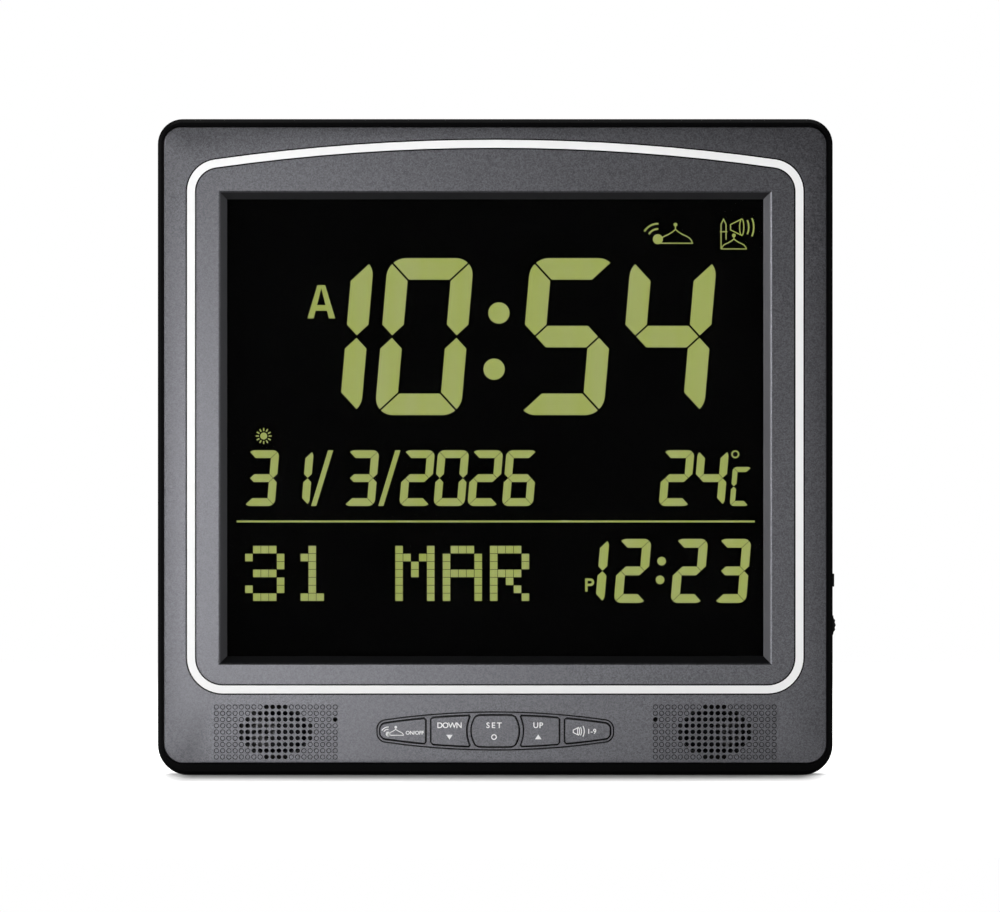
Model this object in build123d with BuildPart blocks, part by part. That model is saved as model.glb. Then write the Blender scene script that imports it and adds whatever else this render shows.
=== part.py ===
from build123d import *
import os
from math import cos, radians, sin, sqrt

# Azan clock: a wide digital clock that stands on its base or hangs on a wall.
# Millimetres. X runs to the viewer's right, Y from front to back, Z up.
# The origin is on the flat base, under the middle of the case.

# ---------------------------------------------------------------- front face
WINDOW_WIDTH = 221.4  # display opening at the face, outside its bevel
WINDOW_HEIGHT = 189.6
BEVEL = 3.4  # bevel of the display opening, as deep as it is wide
TRIM_BAND = 3.4  # width of the inlaid trim ring
TRIM_DEPTH = 1.0
TRIM_GAP = 0.25  # open line on each side of the trim ring
TRIM_TO_WINDOW_SIDE = 12.7
TRIM_TO_WINDOW_LOW = 11.6
TRIM_TO_WINDOW_TOP = 20.5
TRIM_ARCH_RADIUS = 800.0
TRIM_TOP_RADIUS = 13.0
TRIM_LOW_RADIUS = 14.5
CHIN = 32.5  # base to the trim ring
SIDE_MARGIN = 11.6  # trim ring to the side of the case
TOP_MARGIN = 8.2
SHELL_WALL = 2.5
SHELL_TOP_RADIUS = 7.0
SHELL_LOW_RADIUS = 8.0
SHELL_GAP = 0.15  # front shell to rear cabinet, all round
RETURN_WALL = 1.5  # flange that locates the shell in the cabinet
RETURN_DEPTH = 5.5

# ---------------------------------------------------------------- rear cabinet
BODY_TOP_RADIUS = 10.0
BODY_LOW_RADIUS = 12.0
RIM_SIDE = 2.2  # cabinet rim seen round the front shell
RIM_TOP = 2.8
RIM_LOW = 4.4
RIM_SETBACK = 0.3  # rim behind the face of the shell
RIM_EDGE = 1.4
BACK_EDGE = 3.0
BACK_WALL = 2.5
POCKET_WALL = 1.5

# ---------------------------------------------------------------- display stack
LENS_THICKNESS = 1.5
LENS_MARGIN = 5.3  # lens hidden behind the bevel, on each side
LENS_GAP = 0.4
GLASS_THICKNESS = 1.1
GLASS_LEDGE = 4.8  # contact ledge along the lower edge of the front glass
DIFFUSER_THICKNESS = 0.5
GUIDE_THICKNESS = 3.0
REFLECTOR_THICKNESS = 0.3
STACK_GAP = 0.3  # display sheets to the holder's wall
HOLDER_WALL = 1.5
COLLAR_MARGIN = 1.0  # shell's window collar outside the holder
ZEBRA_THICKNESS = 2.6
ZEBRA_MARGIN = 16.0
LED_BOARD_THICKNESS = 1.0
LED_SIZE = 2.2
LED_HEIGHT = 1.4
LED_COUNT = 12
LED_PITCH = 17.0
EAR_DROP = 36.0  # screw ear from each end of the holder
EAR_THICKNESS = 1.8
EAR_STANDOFF = 4.5
EAR_GAP = 1.2  # ear's screw post outside the holder
POST_RADIUS = 2.7

# ---------------------------------------------------------------- keys
CLUSTER_WIDTH = 95.2  # key plate, an oval of two long arcs with rounded ends
CLUSTER_HEIGHT = 15.8
CLUSTER_END_HEIGHT = 8.4  # where the long arcs would meet the ends
CLUSTER_END_FLAT = 0.2  # half of the straight bit left at each end
CLUSTER_Z = 17.6
PLATE_GAP = 0.45
PLATE_LIP = 1.4  # flange of the key plate behind the shell
PLATE_LIP_THICKNESS = 0.8
KEY_INSET = 1.6  # key to the outline of the key plate
KEY_GAP = 0.4
KEY_CORNER = 0.6
KEY_PROUD = 0.4
KEY_EDGE = 0.25
KEY_FLANGE = 0.6
KEY_FLANGE_THICKNESS = 0.7
KEY_TRAVEL = 0.5
END_KEY_EDGE = 27.9  # inner edge of the end keys, from the middle
SIDE_KEY_EDGE = 25.6  # outer edge of the side keys
SIDE_KEY_WAIST = 11.5  # inner, hollow edge of the side keys
SIDE_KEY_CURVE = 14.0
SET_KEY_HALF = 9.5
SET_KEY_CURVE = 10.3
END_PLUNGER_X = 36.5
SIDE_PLUNGER_X = 18.4
PLUNGER_SIZE = 3.4
PLUNGER_LENGTH = 1.6
STEM_SIZE = 3.0
STEM_LENGTH = 2.4
STEM_PROUD = 1.1
STEM_GAP = 0.08
SWITCH_SIZE = 6.0
SWITCH_HEIGHT = 3.5
KEY_POST_GAP = 0.6  # key board's post outside the key plate's flange
KEY_BOARD_MARGIN = 3.5  # key board past the middle of its posts

# ---------------------------------------------------------------- speakers
GRILLE_X = 87.8
GRILLE_Z = 17.2
GRILLE_PITCH = 2.5
GRILLE_COLUMNS = 20
GRILLE_ROWS = 9
HOLE_RADIUS = 0.9
HOLE_SIDES = 6
SOUND_HALF_COLUMNS = 5.8  # oval of open holes, in pitches
SOUND_HALF_ROWS = 4.4
PINHOLE_ROW = 6
SPEAKER_WIDTH = 32.0
SPEAKER_HEIGHT = 22.0
SPEAKER_RIM = 1.4
SPEAKER_FLANGE = 1.2
SPEAKER_GAP = 0.2
GASKET_THICKNESS = 1.0
BASKET_DEPTH = 4.5
BASKET_WALL = 1.0
CONE_THICKNESS = 0.5
CONE_DROP = 2.8
CONE_SLOPE = 2.0  # sloping wall between the cone's mouth and its floor
COIL_RADIUS = 2.9
DUST_CAP_DROP = 1.0
MAGNET_RADIUS = 7.5
MAGNET_DEPTH = 3.5
SADDLE_WALL = 1.2
SADDLE_DEPTH = 4.0

# ---------------------------------------------------------------- boards and fasteners
BOARD_THICKNESS = 1.6
BOARD_WIDTH = 196.0
BOARD_HEIGHT = 60.0
BOARD_BELOW_ZEBRA = 3.0
BOARD_STANDOFF = 1.2
BOARD_SCREW_INSET = 5.0
SCREW_SHANK = 1.2
SCREW_HEAD = 2.2
SCREW_HEAD_HEIGHT = 1.4
SCREW_CLEARANCE = 0.3
FASTENER_SIDES = 6  # screws, with their posts, tubes and holes, are drawn with flats
HIDDEN_SIDES = 20  # sides of the round pieces that the case hides
OVAL_SIDES = 12  # sides of the round ends of a speaker
SMALL_SCREW_GRIP = 4.0
THREAD_GAP = 0.05
CASE_SCREW_SHANK = 1.45
CASE_SCREW_HEAD = 2.75
CASE_SCREW_HEAD_HEIGHT = 2.0
CASE_SCREW_GRIP = 7.0
CASE_SEAT = 3.5  # cabinet tube's floor under a case screw
CASE_TUBE_WALL = 1.0
CASE_BOSS_RADIUS = 3.4
CASE_BOSS_INSET = 6.2
CASE_BOSS_LIFT = 1.5  # lower bosses clear of the wide lower corners
CASE_BOSS_LENGTH = 11.5
SCREW_RELIEF = 0.5  # screw's tip short of the end of its hole
CHIP_RADIUS = 8.0  # resin drop over the clock chip
CHIP_HEIGHT = 2.0
CHIP_SLOPE = 1.2
SOUND_CHIP_X = 35.0
SOUND_CHIP_WIDTH = 10.0
SOUND_CHIP_LENGTH = 18.0
SOUND_CHIP_LIFT = 0.2
SOUND_CHIP_HEIGHT = 2.2
CHIP_LEG_PITCH = 2.54
CHIP_LEG_COUNT = 7
CHIP_LEG_LENGTH = 2.4
CHIP_LEG_WIDTH = 0.8
CHIP_LEG_HEIGHT = 1.2
CRYSTAL_X = -22.5
CRYSTAL_SIZE = 3.0
CRYSTAL_LENGTH = 8.0
CAPACITOR_RADIUS = 3.2
CAPACITOR_HEIGHT = 7.0
CAPACITOR_X = (-60.0, 55.0, 65.0)
CAPACITOR_RISE = 12.0  # capacitors above the middle of the board
THERMISTOR_INSET = 15.3
THERMISTOR_RISE = 9.5
THERMISTOR_WIDTH = 1.4
THERMISTOR_LENGTH = 3.0
THERMISTOR_HEIGHT = 3.5

# ---------------------------------------------------------------- batteries
CELL_DIAMETER = 14.5
CELL_LENGTH = 50.5
CELL_NUB_RADIUS = 2.75
CELL_NUB_LENGTH = 1.2
CELL_COUNT = 3
CELL_PITCH = 15.0
CELL_SLACK = 0.15
CONTACT_THICKNESS = 0.5
CONTACT_SIZE = 10.0
SPRING_LENGTH = 4.0
TUB_CLEARANCE = 0.7  # battery tub to the display holder
TUB_WALL = 1.5
TUB_ABOVE_BOARD = 7.0
DOOR_THICKNESS = 2.2
DOOR_MARGIN = 3.0  # door past the tub's opening
DOOR_GAP = 0.2
DOOR_DOVETAIL = 0.7
DOOR_TRAVEL = 12.0
DOOR_LEDGE = 2.0
GRIP_COUNT = 5
GRIP_PITCH = 2.4
GRIP_WIDTH = 1.0
GRIP_DEPTH = 0.5
GRIP_HEIGHT = 16.0

# ---------------------------------------------------------------- stand leg
LEG_WIDTH = 60.0
LEG_THICKNESS = 4.0
LEG_SKIN = 1.6
LEG_RIB = 2.0
LEG_TIP_HEIGHT = 6.0  # folded leg's tip above the base
LEG_GAP = 0.8
HINGE_BELOW_TUB = 16.0
PIN_RADIUS = 1.5
PIN_LENGTH = 2.6
PIN_GAP = 0.08
PIN_WALL = 4.0
NOTCH_WIDTH = 12.0
NOTCH_HEIGHT = 16.0
PAD_THICKNESS = 1.2
PAD_LENGTH = 7.0

# ---------------------------------------------------------------- side controls
WHEEL_RADIUS = 7.6
WHEEL_PROUD = 1.6
WHEEL_THICKNESS = 2.4
WHEEL_TEETH = 24
WHEEL_TOOTH = 0.35
WHEEL_Z = 59.8
WHEEL_Y = 0.6
WHEEL_POST_RADIUS = 1.5
WHEEL_POST_GAP = 0.05
WHEEL_GAP = 0.4
POT_DEPTH = 2.0
POT_HEIGHT = 11.0
POT_WIDTH = 10.0
KNOB_HEIGHT = 5.2
KNOB_PROUD = 1.0
KNOB_WIDTH = 2.4
KNOB_TRAVEL = 2.0
KNOB_Z = 77.8
KNOB_GAP = 0.3
KNOB_TONGUE = 1.2
KNOB_TONGUE_LENGTH = 2.4
SLIDER_DEPTH = 4.4
SLIDER_WIDTH = 4.4
SLIDER_MARGIN = 2.0
SIDE_BOARD_WIDTH = 20.0
SIDE_BOARD_MARGIN = 5.0
SIDE_BOARD_GAP = 1.0
SIDE_SCREW_INSET = 3.2

# ---------------------------------------------------------------- openings in the back
KEYHOLE_SPACING = 120.0
KEYHOLE_HEAD_RADIUS = 4.5
KEYHOLE_SLOT_RADIUS = 2.3
KEYHOLE_RISE = 8.0
KEYHOLE_DROP = 56.0
VENT_COUNT = 5
VENT_PITCH = 4.0
VENT_WIDTH = 30.0
VENT_HEIGHT = 1.8
JACK_X = -80.0
JACK_ABOVE_BOARD = 14.0
JACK_SIZE = 9.0
JACK_BORE_RADIUS = 3.1
JACK_BORE_DEPTH = 10.0
JACK_PIN_RADIUS = 1.0
JACK_PIN_RECESS = 1.0
JACK_HOLE_RADIUS = 3.8
JACK_GAP = 0.2

# ================================================================ places that follow
# Front view
window_half = WINDOW_WIDTH / 2
trim_half = window_half + TRIM_TO_WINDOW_SIDE
body_half = trim_half + SIDE_MARGIN
window_low = CHIN + TRIM_TO_WINDOW_LOW
window_top = window_low + WINDOW_HEIGHT
trim_top = window_top + TRIM_TO_WINDOW_TOP
body_top = trim_top + TOP_MARGIN
opening_half = body_half - RIM_SIDE
opening_low = RIM_LOW
opening_top = body_top - RIM_TOP
shell_half = opening_half - SHELL_GAP
shell_low = opening_low + SHELL_GAP
shell_top = opening_top - SHELL_GAP

# Display stack seen from the front
lens_half = window_half - BEVEL + LENS_MARGIN
lens_low = window_low + BEVEL - LENS_MARGIN
lens_top = window_top - BEVEL + LENS_MARGIN
stack_half = lens_half + STACK_GAP
stack_low = lens_low - STACK_GAP
stack_top = lens_top + STACK_GAP
holder_half = stack_half + HOLDER_WALL
holder_low = stack_low - HOLDER_WALL
holder_top = stack_top + HOLDER_WALL

# Depth: the display stack, then the battery tub, set the depth of the case
display_depth = BEVEL + LENS_THICKNESS + LENS_GAP + 2 * GLASS_THICKNESS
light_depth = DIFFUSER_THICKNESS + GUIDE_THICKNESS + REFLECTOR_THICKNESS
tub_depth = TUB_CLEARANCE + TUB_WALL + CELL_DIAMETER + 2 * CELL_SLACK
body_depth = display_depth + light_depth + HOLDER_WALL + tub_depth + DOOR_THICKNESS
front = -body_depth / 2
back = body_depth / 2
shell_inner = front + SHELL_WALL
rim_front = front + RIM_SETBACK
back_inner = back - BACK_WALL
lens_front = front + BEVEL
lens_back = lens_front + LENS_THICKNESS
glass_front = lens_back + LENS_GAP
glass_middle = glass_front + GLASS_THICKNESS
glass_back = glass_middle + GLASS_THICKNESS
diffuser_back = glass_back + DIFFUSER_THICKNESS
guide_back = diffuser_back + GUIDE_THICKNESS
reflector_back = guide_back + REFLECTOR_THICKNESS
holder_back = reflector_back + HOLDER_WALL
board_front = holder_back + BOARD_STANDOFF
board_back = board_front + BOARD_THICKNESS

# Keys, from the face backwards
key_front = front - KEY_PROUD
plate_back = shell_inner + PLATE_LIP_THICKNESS
key_flange_front = plate_back + STEM_GAP
key_flange_back = key_flange_front + KEY_FLANGE_THICKNESS
plunger_tip = key_flange_back + PLUNGER_LENGTH
switch_front = plunger_tip + STEM_PROUD
key_board_front = switch_front + SWITCH_HEIGHT
key_board_back = key_board_front + BOARD_THICKNESS
key_board_post_x = CLUSTER_WIDTH / 2 + PLATE_LIP + KEY_POST_GAP + POST_RADIUS
key_board_half = key_board_post_x + KEY_BOARD_MARGIN
key_board_low = CLUSTER_Z - CLUSTER_HEIGHT / 2
key_board_top = CLUSTER_Z + CLUSTER_HEIGHT / 2

# Key plate's oval: rise of its long arcs, their radius, and the radius at its ends
cluster_half = CLUSTER_WIDTH / 2
cluster_rise = (CLUSTER_HEIGHT - CLUSTER_END_HEIGHT) / 2
cluster_arc = (cluster_half**2 + cluster_rise**2) / (2 * cluster_rise)
cluster_corner = CLUSTER_END_HEIGHT / 2 - CLUSTER_END_FLAT

# Main board, battery tub and stand leg, from the base upwards
zebra_low = lens_low + (GLASS_LEDGE - ZEBRA_THICKNESS) / 2
zebra_top = zebra_low + ZEBRA_THICKNESS
zebra_half = lens_half - ZEBRA_MARGIN
board_half = BOARD_WIDTH / 2
board_low = zebra_low - BOARD_BELOW_ZEBRA
board_top = board_low + BOARD_HEIGHT
tub_low = board_top + TUB_ABOVE_BOARD + TUB_WALL
tub_top = tub_low + CELL_COUNT * CELL_PITCH
tub_middle = (tub_low + tub_top) / 2
tub_half = (CELL_LENGTH + CONTACT_THICKNESS + SPRING_LENGTH) / 2
tub_floor = holder_back + TUB_CLEARANCE + TUB_WALL
cell_y = tub_floor + CELL_SLACK + CELL_DIAMETER / 2
door_inner = back - DOOR_THICKNESS
door_half = (tub_top - tub_low) / 2 + DOOR_MARGIN
door_end = tub_half + DOOR_MARGIN
hinge_z = tub_low - TUB_WALL - HINGE_BELOW_TUB
leg_half = LEG_WIDTH / 2
leg_front = back - LEG_THICKNESS - LEG_GAP / 2
leg_back = leg_front + LEG_THICKNESS
hinge_y = (leg_front + leg_back) / 2
pocket_floor = leg_front - LEG_GAP
pocket_half = leg_half + LEG_GAP
pocket_low = LEG_TIP_HEIGHT - LEG_GAP
pocket_top = hinge_z + LEG_THICKNESS / 2 + LEG_GAP
notch_low = LEG_TIP_HEIGHT + PAD_LENGTH

# Side controls
wheel_x = body_half + WHEEL_PROUD - WHEEL_RADIUS
wheel_front = WHEEL_Y - WHEEL_THICKNESS / 2
wheel_back = WHEEL_Y + WHEEL_THICKNESS / 2
pot_front = wheel_back + WHEEL_GAP / 2
side_board_front = pot_front + POT_DEPTH
side_board_back = side_board_front + BOARD_THICKNESS
side_board_right = opening_half - SIDE_BOARD_GAP
side_board_left = side_board_right - SIDE_BOARD_WIDTH
side_board_low = WHEEL_Z - POT_HEIGHT / 2 - SIDE_BOARD_MARGIN
side_board_top = KNOB_Z + KNOB_HEIGHT / 2 + SIDE_BOARD_MARGIN
slider_right = opening_half - KNOB_GAP
slider_front = side_board_front - SLIDER_DEPTH
knob_y = side_board_front - SLIDER_DEPTH / 2

# Fasteners
boss_x = shell_half - CASE_BOSS_INSET
boss_low = shell_low + CASE_BOSS_INSET + CASE_BOSS_LIFT
boss_top = shell_top - CASE_BOSS_INSET
boss_heights = (boss_low, (boss_low + boss_top) / 2, boss_top)
boss_joint = shell_inner + CASE_BOSS_LENGTH
boss_places = [(x, z) for x in (-boss_x, boss_x) for z in boss_heights]
case_seat = boss_joint + CASE_SEAT
tube_bore = CASE_SCREW_HEAD + SCREW_CLEARANCE
tube_radius = tube_bore + CASE_TUBE_WALL
ear_x = holder_half + POST_RADIUS + EAR_GAP
ear_front = shell_inner + EAR_STANDOFF
ear_back = ear_front + EAR_THICKNESS
ear_heights = (holder_low + EAR_DROP, holder_top - EAR_DROP)
ear_places = [(x, z) for x in (-ear_x, ear_x) for z in ear_heights]
board_screw_places = [
    (x, z)
    for x in (-board_half + BOARD_SCREW_INSET, board_half - BOARD_SCREW_INSET)
    for z in (zebra_top + BOARD_SCREW_INSET, board_top - BOARD_SCREW_INSET)
]
key_screw_places = [(-key_board_post_x, CLUSTER_Z), (key_board_post_x, CLUSTER_Z)]
side_screw_x = side_board_left + SIDE_SCREW_INSET
side_screw_heights = (side_board_low + SIDE_SCREW_INSET, side_board_top - SIDE_SCREW_INSET)
side_screw_places = [(side_screw_x, z) for z in side_screw_heights]
jack_z = board_low + JACK_ABOVE_BOARD
jack_mouth = back_inner - JACK_GAP
keyhole_z = body_top - KEYHOLE_DROP


# ================================================================ shared outlines
def facing_front(depth, x=0.0, z=0.0):
    """Sketch plane at a depth, seen from the front: its own X is X and its own Y is Z."""
    return Plane(origin=(x, depth, z), x_dir=(1, 0, 0), z_dir=(0, -1, 0))


def panel(depth, half_width, low, top, low_radius, top_radius):
    """Upright panel with one radius for its lower and one for its upper corners."""
    with BuildSketch(facing_front(depth)) as outline:
        with Locations((0, (low + top) / 2)):
            Rectangle(2 * half_width, top - low)
        fillet(outline.vertices().group_by(Axis.Y)[0], low_radius)
        fillet(outline.vertices().group_by(Axis.Y)[-1], top_radius)
    return outline.sketch


def rectangle(depth, left, right, low, top):
    with BuildSketch(facing_front(depth)) as outline:
        with Locations(((left + right) / 2, (low + top) / 2)):
            Rectangle(right - left, top - low)
    return outline.sketch


def block(near, far, left, right, low, top, mode=Mode.ADD):
    """Adds or cuts the space between two depths, two sides and two heights."""
    extrude(rectangle(near, left, right, low, top), amount=near - far, mode=mode)


def pillars(near, far, radius, places, mode=Mode.ADD):
    """Adds or cuts round pillars from front to back, at places given as (X, Z)."""
    with BuildSketch(facing_front(near)) as outline:
        with Locations(*places):
            Circle(radius)
    extrude(outline.sketch, amount=near - far, mode=mode)


def posts(near, far, radius, places, mode=Mode.ADD, sides=FASTENER_SIDES):
    """Adds or cuts many-sided posts or screw holes from front to back."""
    with BuildSketch(facing_front(near)) as outline:
        with Locations(*places):
            RegularPolygon(radius, sides)
    extrude(outline.sketch, amount=near - far, mode=mode)


def oval(depth, x, length, height):
    """Oval with round ends, lying along X, behind a speaker grille."""
    with BuildSketch(facing_front(depth, x, GRILLE_Z)) as outline:
        Rectangle(length - height, height)
        with GridLocations(length - height, 0, 2, 1):
            RegularPolygon(height / 2, OVAL_SIDES)
    return outline.sketch


def ovals(near, far, length, height, mode=Mode.ADD):
    """Adds or cuts the space behind an oval at each speaker."""
    for x in (-GRILLE_X, GRILLE_X):
        extrude(oval(near, x, length, height), amount=near - far, mode=mode)


def trim_band(depth, slack=0.0):
    """Band of the trim ring: straight sides and foot, and a top that is one long arch."""
    half = trim_half + slack
    low = CHIN - slack
    top = trim_top + slack
    arch = TRIM_ARCH_RADIUS + slack
    shoulder = top - arch + sqrt(arch**2 - half**2)
    with BuildSketch(facing_front(depth)) as band:
        with BuildLine():
            Polyline((-half, shoulder), (-half, low), (half, low), (half, shoulder))
            ThreePointArc((half, shoulder), (0, top), (-half, shoulder))
        make_face()
        fillet(band.vertices().group_by(Axis.Y)[0], TRIM_LOW_RADIUS + slack)
        fillet(band.vertices().group_by(Axis.Y)[-1], TRIM_TOP_RADIUS + slack)
        offset(amount=-(TRIM_BAND + 2 * slack), mode=Mode.SUBTRACT)
    return band.sketch


def cluster_shape(grow=0.0):
    """Key plate's outline about its own middle: two long arcs closed by rounded ends."""
    half = cluster_half + grow
    middle = CLUSTER_HEIGHT / 2 + grow
    arc = cluster_arc + grow
    end = middle - arc + sqrt(arc**2 - half**2)
    with BuildSketch() as outline:
        with BuildLine():
            ThreePointArc((-half, end), (0, middle), (half, end))
            Line((half, end), (half, -end))
            ThreePointArc((half, -end), (0, -middle), (-half, -end))
            Line((-half, -end), (-half, end))
        make_face()
        fillet(outline.vertices(), cluster_corner + grow)
    return outline.sketch_local


def cluster(depth, grow=0.0):
    """Outline of the key plate at a depth, grown or shrunk all round."""
    with BuildSketch(facing_front(depth, 0, CLUSTER_Z)) as outline:
        add(cluster_shape(grow))
    return outline.sketch


def key_outline(depth, name, grow=0.0):
    """Outline of one key, cut out of the key plate's own oval and grown all round."""
    corner = KEY_CORNER + grow
    cut_height = CLUSTER_HEIGHT + 2 * grow
    with BuildSketch(facing_front(depth, 0, CLUSTER_Z)) as outline:
        add(cluster_shape(grow - KEY_INSET))
        if name in ("azan", "tune"):
            with Locations((grow - END_KEY_EDGE, 0)):
                Rectangle(CLUSTER_WIDTH, cut_height, align=(Align.MAX, Align.CENTER), mode=Mode.INTERSECT)
            chamfer(outline.vertices().group_by(Axis.X)[-1], corner)
        elif name in ("down", "up"):
            with Locations((-SIDE_KEY_EDGE - grow, 0)):
                Rectangle(SIDE_KEY_EDGE, cut_height, align=(Align.MIN, Align.CENTER), mode=Mode.INTERSECT)
            with Locations((SIDE_KEY_CURVE - SIDE_KEY_WAIST, 0)):
                Circle(SIDE_KEY_CURVE - grow, mode=Mode.SUBTRACT)
            chamfer(outline.vertices(), corner)
        else:
            for side in (-1, 1):
                with Locations((side * (SET_KEY_CURVE - SET_KEY_HALF), 0)):
                    Circle(SET_KEY_CURVE + grow, mode=Mode.INTERSECT)
            chamfer(outline.vertices(), corner)
        if name in ("up", "tune"):
            mirror(about=Plane.YZ, mode=Mode.REPLACE)
    return outline.sketch


def finish_part(builder, name):
    """Names a finished piece and writes it."""
    builder.part.label = name
    export_step(builder.part, f"parts/{name}.step")


os.makedirs("parts", exist_ok=True)
KEY_PLUNGERS = {
    "azan": -END_PLUNGER_X,
    "down": -SIDE_PLUNGER_X,
    "set": 0.0,
    "up": SIDE_PLUNGER_X,
    "tune": END_PLUNGER_X,
}

# ================================================================ rear cabinet
with BuildPart() as rear_cabinet:
    outer = panel(rim_front, body_half, 0, body_top, BODY_LOW_RADIUS, BODY_TOP_RADIUS)
    extrude(outer, amount=rim_front - back)
    chamfer(rear_cabinet.faces().sort_by(Axis.Y)[-1].edges(), BACK_EDGE)
    chamfer(rear_cabinet.faces().sort_by(Axis.Y)[0].edges(), RIM_EDGE)
    cavity = panel(
        rim_front, opening_half, opening_low, opening_top, SHELL_LOW_RADIUS, SHELL_TOP_RADIUS
    )
    extrude(cavity, amount=rim_front - back_inner, mode=Mode.SUBTRACT)
    # Battery tub with its ledge, and the pocket for the folded stand leg
    tub_outer = tub_half + TUB_WALL
    block(tub_floor - TUB_WALL, back, -tub_outer, tub_outer, tub_low - TUB_WALL, tub_top + TUB_WALL)
    ledge_front = door_inner - DOOR_GAP / 2 - DOOR_LEDGE
    ledge_edge = DOOR_GAP + POCKET_WALL
    block(
        ledge_front,
        back,
        -door_end - ledge_edge,
        door_end + DOOR_TRAVEL + ledge_edge,
        tub_middle - door_half - ledge_edge,
        tub_middle + door_half + ledge_edge,
    )
    pocket_outer = pocket_half + PIN_WALL
    pocket_near = pocket_floor - POCKET_WALL
    block(pocket_near, back, -pocket_outer, pocket_outer, pocket_low - POCKET_WALL, pocket_top + POCKET_WALL)
    notch_right = pocket_half + NOTCH_WIDTH
    notch_top = notch_low + NOTCH_HEIGHT
    block(
        pocket_near,
        back,
        pocket_half,
        notch_right + POCKET_WALL,
        notch_low - POCKET_WALL,
        notch_top + POCKET_WALL,
    )
    block(tub_floor, back, -tub_half, tub_half, tub_low, tub_top, mode=Mode.SUBTRACT)
    block(pocket_floor, back, -pocket_half, pocket_half, pocket_low, pocket_top, mode=Mode.SUBTRACT)
    block(pocket_floor, back, 0, notch_right, notch_low, notch_top, mode=Mode.SUBTRACT)
    with BuildSketch(Plane.YZ.offset(-pocket_half - PIN_LENGTH)) as pin_bore:
        with Locations((hinge_y, hinge_z)):
            Circle(PIN_RADIUS + PIN_GAP)
    extrude(pin_bore.sketch, amount=2 * (pocket_half + PIN_LENGTH), mode=Mode.SUBTRACT)
    # Dovetailed recess that the battery door slides in
    recess_half = door_half + DOOR_GAP
    with BuildSketch(Plane.YZ.offset(-door_end - DOOR_GAP)) as door_recess:
        with BuildLine():
            Polyline(
                (door_inner - DOOR_GAP / 2, tub_middle - recess_half),
                (door_inner - DOOR_GAP / 2, tub_middle + recess_half),
                (back, tub_middle + recess_half - DOOR_DOVETAIL),
                (back, tub_middle - recess_half + DOOR_DOVETAIL),
                close=True,
            )
        make_face()
    extrude(door_recess.sketch, amount=2 * (door_end + DOOR_GAP) + DOOR_TRAVEL, mode=Mode.SUBTRACT)
    # Tubes for the case screws
    posts(boss_joint, back_inner, tube_radius, boss_places)
    posts(case_seat, back, tube_bore, boss_places, mode=Mode.SUBTRACT)
    posts(boss_joint, case_seat, CASE_SCREW_SHANK + SCREW_CLEARANCE, boss_places, mode=Mode.SUBTRACT)
    # Posts for the side board, and the slots for its wheel and its knob
    posts(side_board_back, back_inner, POST_RADIUS, side_screw_places)
    posts(side_board_back, back_inner, SCREW_SHANK + THREAD_GAP, side_screw_places, mode=Mode.SUBTRACT)
    inside = opening_half - 1
    outside = body_half + 1
    wheel_slot = sqrt(WHEEL_RADIUS**2 - (opening_half - wheel_x) ** 2) + WHEEL_GAP
    block(
        wheel_front - WHEEL_GAP,
        wheel_back + WHEEL_GAP,
        inside,
        outside,
        WHEEL_Z - wheel_slot,
        WHEEL_Z + wheel_slot,
        mode=Mode.SUBTRACT,
    )
    block(
        knob_y - KNOB_WIDTH / 2 - KNOB_GAP,
        knob_y + KNOB_WIDTH / 2 + KNOB_GAP,
        inside,
        outside,
        KNOB_Z - KNOB_HEIGHT / 2 - KNOB_TRAVEL - KNOB_GAP,
        KNOB_Z + KNOB_HEIGHT / 2 + KNOB_GAP,
        mode=Mode.SUBTRACT,
    )
    # Keyholes, speaker vents and the hole for the power plug
    for side in (-1, 1):
        x = side * KEYHOLE_SPACING / 2
        with BuildSketch(facing_front(back_inner, x, keyhole_z)):
            Circle(KEYHOLE_HEAD_RADIUS)
            with Locations((0, KEYHOLE_RISE / 2)):
                Rectangle(2 * KEYHOLE_SLOT_RADIUS, KEYHOLE_RISE)
            with Locations((0, KEYHOLE_RISE)):
                Circle(KEYHOLE_SLOT_RADIUS)
        with BuildSketch(facing_front(back_inner, side * GRILLE_X, GRILLE_Z)):
            with GridLocations(0, VENT_PITCH, 1, VENT_COUNT):
                Rectangle(VENT_WIDTH, VENT_HEIGHT)
    extrude(amount=-BACK_WALL, mode=Mode.SUBTRACT)
    pillars(back_inner, back, JACK_HOLE_RADIUS, [(JACK_X, jack_z)], mode=Mode.SUBTRACT)
finish_part(rear_cabinet, "rear_cabinet")

# ================================================================ front shell
sound_holes = []
for column in range(GRILLE_COLUMNS):
    for row in range(GRILLE_ROWS):
        across = column - (GRILLE_COLUMNS - 1) / 2
        up = row - (GRILLE_ROWS - 1) / 2
        inside_oval = (across / SOUND_HALF_COLUMNS) ** 2 + (up / SOUND_HALF_ROWS) ** 2 <= 1
        if inside_oval or (row == PINHOLE_ROW and column == GRILLE_COLUMNS - 1):
            sound_holes.append((across * GRILLE_PITCH, up * GRILLE_PITCH))

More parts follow.
